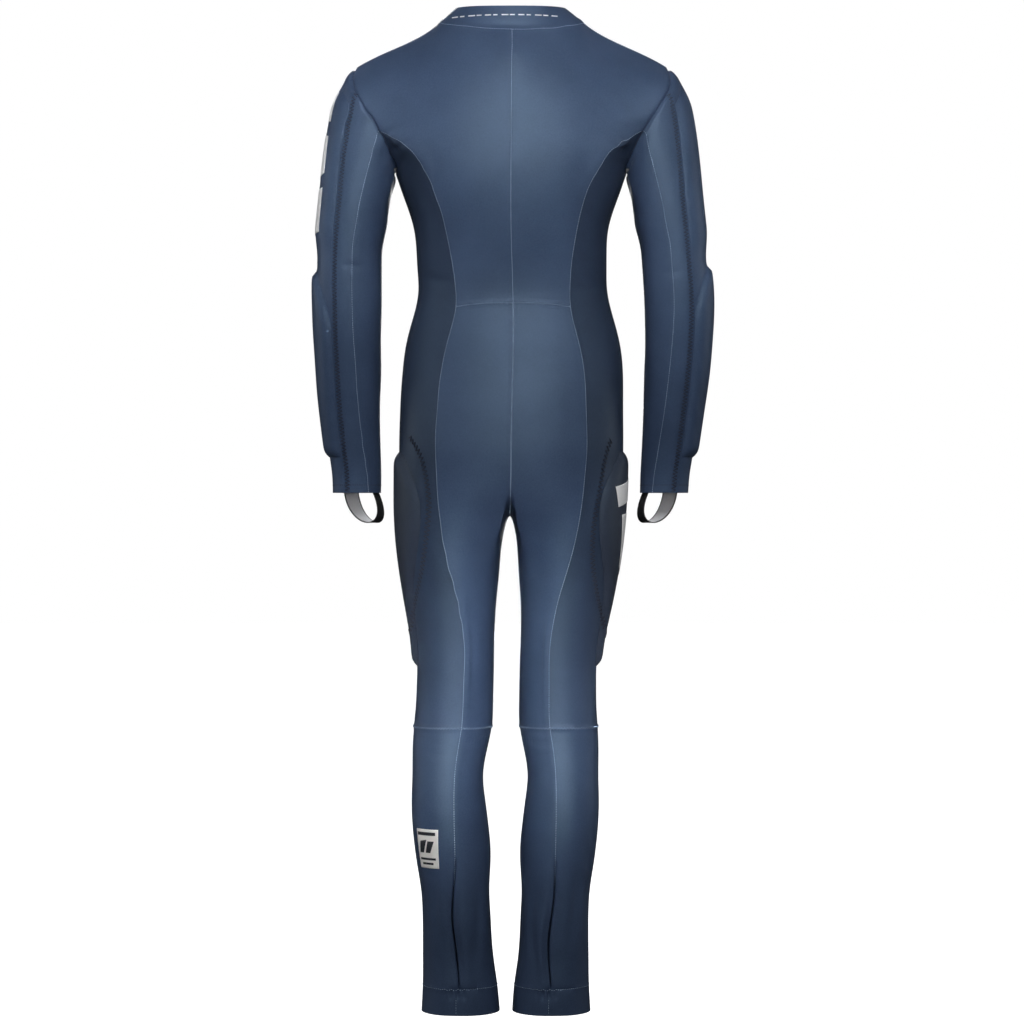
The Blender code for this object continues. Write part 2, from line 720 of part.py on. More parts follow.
def lay_leg(skin, side_name):
    side = SIDES[side_name]
    rows = LEG_TOP_ROWS + len(LEG_LEVELS)
    for row in range(rows):
        for column in range(LEG_COLUMNS):
            if row < LEG_TOP_ROWS:
                place = leg_top_point(column, row / LEG_TOP_ROWS)
            else:
                place = leg_point(column, LEG_LEVELS[row - LEG_TOP_ROWS])
            skin.point(leg_key(side_name, column, row), placed(side_name, place))
    for row in range(rows - 1):
        for column in range(LEG_COLUMNS):
            corners = [
                skin.points[leg_key(side_name, column + i, row + j)]
                for i, j in ((0, 1), (1, 1), (1, 0), (0, 0))
            ]
            pad = None
            if row < PAD_FOOT_ROW and PAD_BACK <= column < PAD_FRONT:
                pad = f"hip_pad_{side_name}"
            patched = side_name == "left" and BACK_SEAM < column <= PAD_BACK
            if patched and PATCH_ROWS[0] <= row < PATCH_ROWS[1]:
                pad = "calf_patch"
            skin.quad(corners, side, leg_panel(side_name, column, row), pad)


def sleeve_panel(side_name, column, row):
    strip = YOKE_TOP - SLEEVE_STRIP_TOP
    seam = YOKE_TOP - SIDE_PANEL_TOP
    if column < strip or column >= SLEEVE_COLUMNS - strip:
        length = next(name for name, end in OUTER_LENGTHS if row < end)
        return f"{length}_{side_name}"
    if column < seam:
        return f"sleeve_back_{side_name}"
    if column >= SLEEVE_COLUMNS - seam:
        return f"sleeve_front_{side_name}"
    return f"sleeve_under_{side_name}"


def lay_sleeve(skin, side_name):
    side = SIDES[side_name]
    rows = SLEEVE_TOP_ROWS + len(SLEEVE_LEVELS)
    for column in range(SLEEVE_COLUMNS):
        start = skin.points[sleeve_key(side_name, column, 0)].co.copy()
        start.x *= side
        for row in range(1, rows):
            if row < SLEEVE_TOP_ROWS:
                place = sleeve_top_point(start, column, row / SLEEVE_TOP_ROWS)
            else:
                place = sleeve_point(column, SLEEVE_LEVELS[row - SLEEVE_TOP_ROWS])
            skin.point(sleeve_key(side_name, column, row), placed(side_name, place))
    for row in range(rows - 1):
        for column in range(SLEEVE_COLUMNS):
            corners = [
                skin.points[sleeve_key(side_name, column + i, row + j)]
                for i, j in ((0, 0), (1, 0), (1, 1), (0, 1))
            ]
            panel = sleeve_panel(side_name, column, row)
            pad = None
            if panel.startswith("outer"):
                if UPPER_PAD_ROWS[0] <= row < UPPER_PAD_ROWS[1]:
                    pad = f"upper_arm_pad_{side_name}"
                if FOREARM_PAD_ROWS[0] <= row < FOREARM_PAD_ROWS[1]:
                    pad = f"forearm_pad_{side_name}"
            skin.quad(corners, side, panel, pad)


def edge_pulls(faces):
    """For each point on a piece's edge, the direction into the piece, sized for an even margin of 1."""
    pulls = {}
    for start, end in edge_loops(faces):
        along = (end.co - start.co).normalized()
        for vert in (start, end):
            pulls.setdefault(vert, []).append(vert.normal.cross(along).normalized())
    mitred = {}
    for vert, directions in pulls.items():
        total = sum(directions, Vector())
        mitred[vert] = total * (len(directions) / max(total.length_squared, 0.3))
    return mitred


def edge_loops(faces):
    """The directed edges round a piece, as its faces run."""
    owned = set(faces)
    return [
        (loop.vert, loop.link_loop_next.vert)
        for face in faces
        for loop in face.loops
        if not any(other in owned for other in loop.edge.link_faces if other is not face)
    ]


def add_object(name, points, faces, finish):
    mesh = bpy.data.meshes.new(name)
    mesh.from_pydata(points, [], faces)
    mesh.shade_smooth()
    mesh.set_sharp_from_angle(angle=math.radians(50))
    mesh.materials.append(own_material(name, finish))
    made = bpy.data.objects.new(name, mesh)
    suit_collection.objects.link(made)
    return made


def layered_solid(name, faces, layers, finish):
    """A closed piece from part of the skin: each layer says how far its points are moved out, and how
    far its edge is drawn in. The first layer faces out, the last faces in."""
    verts = sorted({vert for face in faces for vert in face.verts}, key=lambda vert: vert.index)
    pulls = edge_pulls(faces)
    rim = edge_loops(faces)
    points = []
    index = []
    for out, edge_out, drawn_in in layers:
        layer = {}
        for vert in verts:
            on_edge = vert in pulls
            place = vert.co + vert.normal * (edge_out if on_edge else out)
            if on_edge:
                place = place + pulls[vert] * drawn_in
            layer[vert] = len(points)
            points.append(place)
        index.append(layer)
    first, last = index[0], index[-1]
    made = [[first[vert] for vert in face.verts] for face in faces]
    made += [[last[vert] for vert in reversed(face.verts)] for face in faces]
    for upper, lower in zip(index, index[1:]):
        for start, end in rim:
            # The diagonal depends on the points alone, so two panels' edges match across a seam
            if start.index < end.index:
                made.append([upper[end], upper[start], lower[start]])
                made.append([upper[end], lower[start], lower[end]])
            else:
                made.append([upper[end], upper[start], lower[end]])
                made.append([upper[start], lower[start], lower[end]])
    used = sorted({i for face in made for i in face})
    renumbered = {old: new for new, old in enumerate(used)}
    return add_object(
        name,
        [points[i] for i in used],
        [[renumbered[i] for i in face] for face in made],
        finish,
    )


def panel_solid(skin, name, finish, proud=0.0):
    margin = SEAM_GAP / 2
    layers = ((proud, proud, margin), (-CLOTH, -CLOTH, margin))
    layered_solid(name, skin.faces_of(name), layers, finish)


def pad_solid(skin, name, thickness, finish):
    """A pad in its stitched-down cover: a thin lip, a sloping side and a crowned top."""
    layers = (
        (LAY_GAP + thickness, LAY_GAP + thickness * PAD_SHOULDER, PAD_MARGIN + PAD_SLOPE),
        (LAY_GAP, LAY_GAP + PAD_LIP, PAD_MARGIN),
        (LAY_GAP, LAY_GAP, PAD_MARGIN),
    )
    layered_solid(name, skin.faces_under(name), layers, finish)


def patch_solid(skin, name, finish):
    layers = (
        (LAY_GAP + PATCH_THICKNESS, LAY_GAP + PATCH_THICKNESS, SEAM_GAP),
        (LAY_GAP, LAY_GAP, SEAM_GAP),
    )
    layered_solid(name, skin.faces_under(name), layers, finish)


def cuff_inside(angle_degrees, rise):
    """A point just inside a right-hand cuff, at an angle round it and a height above its edge."""
    z = CUFF_Z + rise
    angle = math.radians(angle_degrees)
    width = SLEEVE.at("half_width", z) - LOOP_INSET
    depth = SLEEVE.at("half_depth", z) - LOOP_INSET
    x, y = oval_point(width, depth, depth, angle, LIMB_SQUARENESS)
    return Vector((SLEEVE.at("centre_x", z) + x, SLEEVE.at("centre_y", z) + y, z))


def hand_loop(side_name, finish):
    """A flat elastic tape that hangs in a loop from inside the cuff, for the hand to pass through."""
    ends = []
    for angle in LOOP_ANGLES:
        half_turn = math.degrees(LOOP_WIDTH / 2 / SLEEVE.at("half_width", CUFF_Z))
        ends.append([angle - half_turn, angle, angle + half_turn])
    first, last = ends[0], ends[1][::-1]
    rows = [[cuff_inside(angle, rise) for angle in first] for rise in (LOOP_TUCK, LOOP_TUCK / 2, 0.0)]
    leave = Vector((0.25 * LOOP_BULGE, 0, -LOOP_DROP * 4))
    join = Vector((LOOP_BULGE, 0, LOOP_DROP * 4))
    for i in range(1, LOOP_STATIONS):
        t = i / LOOP_STATIONS
        rows.append(
            [
                hermite(cuff_inside(a, 0), cuff_inside(b, 0), leave, join, t)
                for a, b in zip(first, last)
            ]
        )
    rows += [[cuff_inside(angle, rise) for angle in last] for rise in (0.0, LOOP_TUCK / 2, LOOP_TUCK)]
    points = [placed(side_name, point) for row in rows for point in row]
    across = len(first)
    faces = [
        [i * across + j, i * across + j + 1, (i + 1) * across + j + 1, (i + 1) * across + j]
        for i in range(len(rows) - 1)
        for j in range(across - 1)
    ]
    made = add_object(f"hand_loop_{side_name}", points, faces, finish)
    tape = made.modifiers.new("Tape thickness", "SOLIDIFY")
    tape.thickness = LOOP_THICKNESS
    tape.offset = 0


def zip_frame():
    """A frame on the front of the collar: X across, Y down the zip, Z out from it."""
    foot = neck_point(NECK_SEAM, CENTRE_FRONT)
    top = neck_point(COLLAR_TOP, CENTRE_FRONT)
    down = (foot - top).normalized()
    out = down.cross(Vector((1, 0, 0))).normalized()
    if out.y < 0:
        out = -out
    across = down.cross(out).normalized()
    frame = Matrix((across, down, out)).transposed().to_4x4()
    frame.translation = placed("right", top + down * SLIDER_DOWN)
    return frame


def box(name, size, centre, frame):
    bpy.ops.mesh.primitive_cube_add(size=1)
    made = bpy.context.object
    made.name = name
    made.data.name = name
    made.data.transform(Matrix.Translation(centre) @ Matrix.Diagonal((*size, 1)))
    made.matrix_world = frame
    return made


def rod(name, radius, length, centre, frame, sides):
    """A short rod across the zip."""
    turned = Matrix.Rotation(math.pi / 2, 4, "Y")
    bpy.ops.mesh.primitive_cylinder_add(vertices=sides, radius=radius, depth=length)
    made = bpy.context.object
    made.name = name
    made.data.name = name
    made.data.transform(Matrix.Translation(centre) @ turned)
    made.matrix_world = frame
    return made


def cut(target, tool, operation):
    """Joins or cuts with another shape, which then leaves the model."""
    change = target.modifiers.new(operation.title(), "BOOLEAN")
    change.operation = operation
    change.object = tool
    change.solver = "EXACT"
    bpy.context.view_layer.objects.active = target
    bpy.ops.object.modifier_apply(modifier=change.name)
    bpy.data.objects.remove(tool)


def file_under_suit(made, finish):
    for collection in made.users_collection:
        collection.objects.unlink(made)
    suit_collection.objects.link(made)
    made.data.materials.clear()
    made.data.materials.append(own_material(made.name, finish))


def zip_slider(finish):
    """The slider's plate, with two lugs and a cross pin that carry the pull tab."""
    frame = zip_frame()
    plate_middle = LAY_GAP + 0.0003 + SLIDER_HEIGHT / 2
    plate = (SLIDER_WIDTH, SLIDER_LENGTH, SLIDER_HEIGHT)
    slider = box("zip_slider", plate, (0, 0, plate_middle), frame)
    lug_x = TAB_WIDTH / 2 + SEAM_GAP + LUG_WIDTH / 2
    lug_z = plate_middle + SLIDER_HEIGHT / 2 + LUG_HEIGHT / 2 - 0.0005
    for side in SIDES.values():
        size = (LUG_WIDTH, LUG_LENGTH, LUG_HEIGHT + 0.001)
        cut(slider, box("lug", size, (side * lug_x, 0, lug_z), frame), "UNION")
    pin_length = 2 * lug_x + LUG_WIDTH / 2
    cut(slider, rod("pin", PIN_RADIUS, pin_length, (0, 0, pin_height()), frame, 8), "UNION")
    file_under_suit(slider, finish)


def pin_height():
    """How far the pull tab's pin stands out from the zip."""
    return LAY_GAP + 0.0003 + SLIDER_HEIGHT + SEAM_GAP + TAB_EYE_RADIUS


def pull_tab(finish):
    """The flat tab that hangs from the slider's pin, widening towards its end."""
    lean = Matrix.Rotation(math.radians(-TAB_LEAN), 4, "X")
    frame = zip_frame() @ Matrix.Translation((0, 0, pin_height())) @ lean
    tab = rod("pull_tab", TAB_EYE_RADIUS, TAB_WIDTH, (0, 0, 0), frame, 12)
    shank = (TAB_WIDTH, TAB_LENGTH / 2, TAB_THICKNESS)
    cut(tab, box("shank", shank, (0, TAB_LENGTH / 4, 0), frame), "UNION")
    blade = (TAB_END_WIDTH, TAB_LENGTH * 0.6, TAB_THICKNESS)
    cut(tab, box("blade", blade, (0, TAB_LENGTH * 0.7, 0), frame), "UNION")
    cut(tab, rod("eye", TAB_HOLE_RADIUS, TAB_WIDTH * 2, (0, 0, 0), frame, 12), "DIFFERENCE")
    file_under_suit(tab, finish)


def own_material(name, finish):
    colour, roughness, metallic = FINISHES[finish]
    material = bpy.data.materials.new(name)
    material.use_nodes = True
    shader = material.node_tree.nodes["Principled BSDF"]
    shader.inputs["Base Color"].default_value = colour
    shader.inputs["Roughness"].default_value = roughness
    shader.inputs["Metallic"].default_value = metallic
    return material


def build():
    skin = Skin()
    for side_name in SIDES:
        lay_torso(skin, side_name)
        lay_yoke(skin, side_name)
        lay_collar(skin, side_name)
        lay_leg(skin, side_name)
        lay_sleeve(skin, side_name)
    skin.mesh.verts.index_update()
    skin.mesh.normal_update()

    panel_solid(skin, "collar", "stretch_knit")
    for side_name in SIDES:
        for panel in PANELS:
            panel_solid(skin, f"{panel}_{side_name}", "stretch_knit")
        panel_solid(skin, f"hem_band_{side_name}", "padded_knit", proud=HEM_BAND_PROUD)
        panel_solid(skin, f"zip_tape_{side_name}", "zip_tape")
        pad_solid(skin, f"hip_pad_{side_name}", HIP_PAD, "padded_knit")
        pad_solid(skin, f"upper_arm_pad_{side_name}", UPPER_ARM_PAD, "padded_knit")
        pad_solid(skin, f"forearm_pad_{side_name}", FOREARM_PAD, "padded_knit")
        hand_loop(side_name, "elastic")
    patch_solid(skin, "calf_patch", "patch")
    zip_slider("zip_metal")
    pull_tab("zip_metal")
    skin.mesh.free()


build()
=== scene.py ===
"""Looks of the ski race suit: satin stretch-knit panels, seams, pads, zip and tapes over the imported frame."""

import math

import bmesh
import bpy
import numpy as np
from mathutils import Matrix, Vector
from mathutils.bvhtree import BVHTree
from mathutils.kdtree import KDTree


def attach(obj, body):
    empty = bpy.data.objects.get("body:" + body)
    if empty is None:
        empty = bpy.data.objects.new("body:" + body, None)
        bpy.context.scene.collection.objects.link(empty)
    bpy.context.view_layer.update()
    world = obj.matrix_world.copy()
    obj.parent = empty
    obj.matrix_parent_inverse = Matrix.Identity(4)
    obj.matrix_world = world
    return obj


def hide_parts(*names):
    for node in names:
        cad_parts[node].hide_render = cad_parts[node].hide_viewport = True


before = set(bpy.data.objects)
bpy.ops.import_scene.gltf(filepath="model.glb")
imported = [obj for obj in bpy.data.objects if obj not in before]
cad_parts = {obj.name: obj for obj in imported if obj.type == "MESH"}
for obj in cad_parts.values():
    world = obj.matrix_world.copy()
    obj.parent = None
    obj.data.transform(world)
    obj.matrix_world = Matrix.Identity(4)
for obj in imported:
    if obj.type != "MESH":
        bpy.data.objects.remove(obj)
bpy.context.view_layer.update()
bpy.ops.object.select_all(action="DESELECT")

# Studio: a white sweep under and behind the suit. Large soft lamps stand high and level on both faces of
# it and weaker ones at its sides, and three narrow ones lift the shoulders, the seat and the knees.
scene = bpy.context.scene
scene.view_settings.view_transform = "Standard"
bpy.ops.object.camera_add(location=(0.0014, -4.2, -0.6468), rotation=(math.radians(90), 0, 0))
camera = bpy.context.object
camera.data.lens = 105.47
camera.data.sensor_width = 36
scene.camera = camera

LAMPS = (
    # name, place, what it faces, width, height, watts, spread in degrees
    ("back_high", (0.25, -3.5, 1.75), (0.02, 0, -0.28), 1.5, 0.9, 5.7, 42),
    ("back_shoulders", (0.1, -4.2, 0.9), (0, 0, -0.07), 1.2, 0.35, 0.64, 8),
    ("back_seat", (0, -4.2, 0.5), (0, 0, -0.41), 0.7, 0.25, 0.09, 7),
    ("back_knees", (-0.1, -4.2, -0.6), (-0.03, 0, -0.885), 0.4, 0.3, 0.52, 7),
    ("back_level", (-0.15, -4.6, -0.15), (0, 0, -0.45), 1.0, 1.4, 1.2, 60),
    ("back_left", (-3.2, -1.6, 0.7), (0, 0, -0.35), 0.8, 1.4, 3.3, 80),
    ("back_right", (3.2, -1.6, 0.7), (0, 0, -0.35), 0.8, 1.4, 1.6, 80),
    ("far_left", (-4.3, 1.2, 0.1), (0, 0, -0.55), 1.0, 1.6, 2.2, 60),
    ("far_right", (4.3, 1.2, 0.1), (0, 0, -0.55), 1.0, 1.6, 2.2, 60),
    ("front_high", (-0.25, 3.7, 1.3), (0, 0, -0.35), 1.5, 0.9, 15.0, 64),
    ("front_level", (0.15, 4.6, -0.35), (0, 0, -0.65), 1.0, 1.4, 7.0, 60),
)
for name, place, target, width, height, watts, spread in LAMPS:
    bpy.ops.object.light_add(type="AREA", location=place)
    lamp = bpy.context.object
    lamp.name = f"light_{name}"
    lamp.rotation_euler = (Vector(target) - lamp.location).to_track_quat("-Z", "Y").to_euler()
    lamp.data.shape = "RECTANGLE"
    lamp.data.size = width
    lamp.data.size_y = height
    lamp.data.energy = watts
    lamp.data.spread = math.radians(spread)


def add_node(tree, kind, inputs=(), operation=None):
    """A shader node. Each of its inputs is given a value, or is linked where a socket is given."""
    node = tree.nodes.new(kind)
    if operation:
        node.operation = operation
    for key, value in dict(inputs).items():
        if isinstance(value, bpy.types.NodeSocket):
            tree.links.new(value, node.inputs[key])
        else:
            node.inputs[key].default_value = value
    return node


world = bpy.data.worlds.new("studio")
scene.world = world
world.use_nodes = True
tree = world.node_tree
tree.nodes.clear()
seen = add_node(tree, "ShaderNodeBackground", {"Color": (1, 1, 1, 1), "Strength": 1.0})
fill = add_node(tree, "ShaderNodeBackground", {"Color": (0.93, 0.96, 1.0, 1), "Strength": 0.045})
to_camera = add_node(tree, "ShaderNodeLightPath").outputs["Is Camera Ray"]
both_skies = {"Fac": to_camera, 1: fill.outputs["Background"], 2: seen.outputs["Background"]}
mix = add_node(tree, "ShaderNodeMixShader", both_skies)
add_node(tree, "ShaderNodeOutputWorld", {"Surface": mix.outputs["Shader"]})

bpy.ops.mesh.primitive_plane_add(size=30, location=(0, 0, -1.362))
floor = bpy.context.object
floor.name = "floor"
floor_paint = bpy.data.materials.new("pale_floor")
floor_paint.use_nodes = True
paint = floor_paint.node_tree.nodes["Principled BSDF"].inputs
paint["Base Color"].default_value = (0.75, 0.75, 0.76, 1)
paint["Roughness"].default_value = 0.9
paint["Emission Color"].default_value = (1, 1, 1, 1)
paint["Emission Strength"].default_value = 1.05
floor.data.materials.append(floor_paint)
floor.visible_diffuse = False
floor.visible_glossy = False

# The cut pieces: stretch knit with a satin face, each cut flat and sewn edge to edge. They are one
# smooth skin here, taken from the outer faces of the solid walls, then folded and cut apart again.
ONE_SIDE = {
    "back": ("back",),
    "seat": ("seat",),
    "side": ("side_chest", "side_hip", "side_thigh", "side_knee"),
    "front": ("front",),
    "zip_tape": ("zip_tape",),
    "sleeve_under": ("sleeve_under",),
    "sleeve_back": ("sleeve_back",),
    "sleeve_front": ("sleeve_front",),
    "sleeve_outer": ("outer_shoulder", "outer_upper_arm", "outer_elbow", "outer_forearm"),
    "calf_inner": ("calf_inner",),
    "calf_outer": ("calf_outer",),
    "hem_band": ("hem_band",),
}
CUT_PIECES = {"collar": ("collar",)}
for side in ("left", "right"):
    for piece, lengths in ONE_SIDE.items():
        CUT_PIECES[f"{piece}_{side}"] = tuple(f"{length}_{side}" for length in lengths)
PIECE_NAMES = list(CUT_PIECES)
LAID_ON = (
    "hip_pad_left",
    "hip_pad_right",
    "upper_arm_pad_left",
    "upper_arm_pad_right",
    "forearm_pad_left",
    "forearm_pad_right",
)
WALL_EDGE = 0.0024  # a triangle with a shorter side than this is on a wall's rim
SEAM_GAP = 0.0008  # points nearer than this are one point of the skin, across the gap of a seam
PAD_REACH = 0.0035  # how near a pad's solid the skin under it is
LAID_STEP = 32  # added to a face's piece number once for each pad's own number


def body_middle(point):
    """The middle of the torso, leg or sleeve that a point of the suit belongs to."""
    side = math.copysign(1, point.x)
    if abs(point.x) > 0.165 and point.z < -0.1:
        return Vector((0.224 * side, 0.005, point.z))
    if point.z < -0.66:
        return Vector((0.075 * side - 0.005, 0, point.z))
    return Vector((0, 0, point.z))


def outer_faces(node):
    """The outer faces of a solid wall, as a mesh of merged triangles."""
    wall = bmesh.new()
    wall.from_mesh(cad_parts[node].data)
    bmesh.ops.remove_doubles(wall, verts=wall.verts, dist=1e-5)
    rim = [face for face in wall.faces if min(edge.calc_length() for edge in face.edges) < WALL_EDGE]
    bmesh.ops.delete(wall, geom=rim, context="FACES")
    found = set()
    best = None
    for first in list(wall.faces):
        if first in found:
            continue
        layer = [first]
        found.add(first)
        for face in layer:
            for edge in face.edges:
                for other in edge.link_faces:
                    if other not in found:
                        found.add(other)
                        layer.append(other)
        outward = 0.0
        for face in layer:
            middle = face.calc_center_median()
            outward += face.calc_area() * face.normal.dot((middle - body_middle(middle)).normalized())
        if best is None or outward > best[0]:
            best = (outward, layer)
    keep = set(best[1])
    bmesh.ops.delete(wall, geom=[face for face in wall.faces if face not in keep], context="FACES")
    return wall


points = []
triangles = []
labels = []
for number, lengths in enumerate(CUT_PIECES.values()):
    for node in lengths:
        wall = outer_faces(node)
        wall.verts.index_update()
        start = len(points)
        points += [vert.co.copy() for vert in wall.verts]
        triangles += [[start + vert.index for vert in face.verts] for face in wall.faces]
        labels += [number] * len(wall.faces)
        wall.free()
skin = bpy.data.meshes.new("skin")
skin.from_pydata(points, [], triangles)
skin.polygons.foreach_set("material_index", labels)
shape = bmesh.new()
shape.from_mesh(skin)
bmesh.ops.remove_doubles(shape, verts=shape.verts, dist=SEAM_GAP)
bmesh.ops.join_triangles(
    shape,
    faces=shape.faces,
    cmp_materials=True,
    angle_face_threshold=math.radians(80),
    angle_shape_threshold=math.radians(80),
)
for number, name in enumerate(LAID_ON):
    pad = bmesh.new()
    pad.from_mesh(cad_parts[name].data)
    near = BVHTree.FromBMesh(pad)
    for face in shape.faces:
        hit = near.find_nearest(face.calc_center_median(), PAD_REACH)
        if hit[0] is not None and face.material_index < LAID_STEP:
            face.material_index += LAID_STEP * (number + 1)
    pad.free()
shape.to_mesh(skin)
shape.free()
skin_form = bpy.data.objects.new("skin_form", skin)
scene.collection.objects.link(skin_form)
rounding = skin_form.modifiers.new("rounding", "SUBSURF")
rounding.subdivision_type = "CATMULL_CLARK"


def rounded(level):
    """The skin's smooth surface at a level: its points, its quads and each quad's label."""
    rounding.levels = level
    rounding.render_levels = level
    bpy.context.view_layer.update()
    mesh = skin_form.evaluated_get(bpy.context.evaluated_depsgraph_get()).data
    place = np.zeros(len(mesh.vertices) * 3)
    mesh.vertices.foreach_get("co", place)
    corners = np.zeros(len(mesh.loops), np.int32)
    mesh.loops.foreach_get("vertex_index", corners)
    label = np.zeros(len(mesh.polygons), np.int32)
    mesh.polygons.foreach_get("material_index", label)
    return place.reshape(-1, 3), corners.reshape(-1, 4), label


# Subdivision pulls a form in, so the cage is pushed out until the smooth skin meets its aims. These are the
# solids' own points, evened out over the yoke and along the upper side seams.
YOKE_FLOOR = -0.165
YOKE_HALF_WIDTH = 0.2
SIDE_SEAM_FLOOR = -0.19


def relaxed(aims, numbers, neighbours, share, rounds):
    """Draws the numbered points towards the middle of their neighbours, by a share, in several rounds."""
    for _ in range(rounds):
        moved = aims.copy()
        for i in numbers:
            moved[i] = (1 - share) * aims[i] + share * aims[neighbours[i]].mean(axis=0)
        aims = moved
    return aims


cage = np.zeros(len(skin.vertices) * 3)
skin.vertices.foreach_get("co", cage)
cage = cage.reshape(-1, 3)
panels_at = {}
for face in skin.polygons:
    for key in face.edge_keys:
        panels_at.setdefault(key, set()).add(face.material_index % LAID_STEP)
side_seams = ({"back", "side"}, {"front", "side"})
held_points = {i for face in skin.polygons if face.material_index % LAID_STEP == 0 for i in face.vertices}
seam_neighbours = {}
for (a, b), owners in panels_at.items():
    if len(owners) < 2:
        continue
    held_points |= {a, b}
    if len(owners) == 2 and {PIECE_NAMES[i].rpartition("_")[0] for i in owners} in side_seams:
        seam_neighbours.setdefault(a, []).append(b)
        seam_neighbours.setdefault(b, []).append(a)
turning = [i for i, others in seam_neighbours.items() if len(others) == 2 and cage[i][2] > SIDE_SEAM_FLOOR]
target = relaxed(cage, turning, seam_neighbours, 0.6, 3)
neighbours = {}
for edge in skin.edges:
    a, b = edge.vertices
    neighbours.setdefault(a, []).append(b)
    neighbours.setdefault(b, []).append(a)
yoke = [
    i
    for i in range(len(target))
    if i not in held_points and target[i][2] > YOKE_FLOOR and abs(target[i][0]) < YOKE_HALF_WIDTH
]
target = relaxed(target, yoke, neighbours, 0.5, 6)
cage = target.copy()
skin.vertices.foreach_set("co", cage.ravel())
skin.update()
for _ in range(4):
    smooth, _, _ = rounded(1)
    cage += 0.9 * (target - smooth[: len(target)])
    skin.vertices.foreach_set("co", cage.ravel())
    skin.update()
coarse_points, coarse_quads, coarse_labels = rounded(2)
skin_points, skin_quads, skin_labels = rounded(3)
bpy.data.objects.remove(skin_form)

# Each point of the coarse skin is also one of the fine skin's, so both use the fine one's numbers
numbering = KDTree(len(skin_points))
for number, place in enumerate(skin_points):
    numbering.insert(place, number)
numbering.balance()
same_point = np.array([numbering.find(place)[1] for place in coarse_points])
coarse_quads = same_point[coarse_quads]


def point_normals(places, quads):
    """The normal at each point, as the mean of its quads' normals."""
    a, b, c, d = (places[quads[:, i]] for i in range(4))
    flat = np.cross(c - a, d - b)
    total = np.zeros_like(places)
    for i in range(4):
        np.add.at(total, quads[:, i], flat)
    return total / np.maximum(np.linalg.norm(total, axis=1, keepdims=True), 1e-12)


skin_normals = point_normals(skin_points, skin_quads)


def skin_tree(places, quads):
    """A search tree of the quads, for rays and nearest points."""
    return BVHTree.FromPolygons([tuple(p) for p in places], [tuple(q) for q in quads])


plain_tree = skin_tree(skin_points, coarse_quads)
VIEWS = {
    "back": Vector((0, 1, 0)),
    "front": Vector((0, -1, 0)),
    "wearer_left": Vector((1, 0, 0)),
    "wearer_right": Vector((-1, 0, 0)),
}


def onto(tree, view, across, height):
    """Where a line of sight meets the suit: across is x from the back or front, y from a side."""
    sight = VIEWS[view]
    start = Vector((across, 0, height)) if sight.y else Vector((0, across, height))
    hit = tree.ray_cast(start - sight * 0.6, sight)
    return hit[0], hit[1]


def curve_through(stops, step):
    """Evenly spaced points along a smooth line through the stops."""
    stops = [Vector(stop) for stop in stops]
    stops = [2 * stops[0] - stops[1], *stops, 2 * stops[-1] - stops[-2]]
    fine = []
    for p0, p1, p2, p3 in zip(stops, stops[1:], stops[2:], stops[3:]):
        count = max(2, round((p2 - p1).length / step))
        for i in range(count):
            t = i / count
            fine.append(
                0.5
                * (
                    2 * p1
                    + (p2 - p0) * t
                    + (2 * p0 - 5 * p1 + 4 * p2 - p3) * t**2
                    + (3 * p1 - p0 - 3 * p2 + p3) * t**3
                )
            )
    fine.append(stops[-2])
    return np.array(fine)


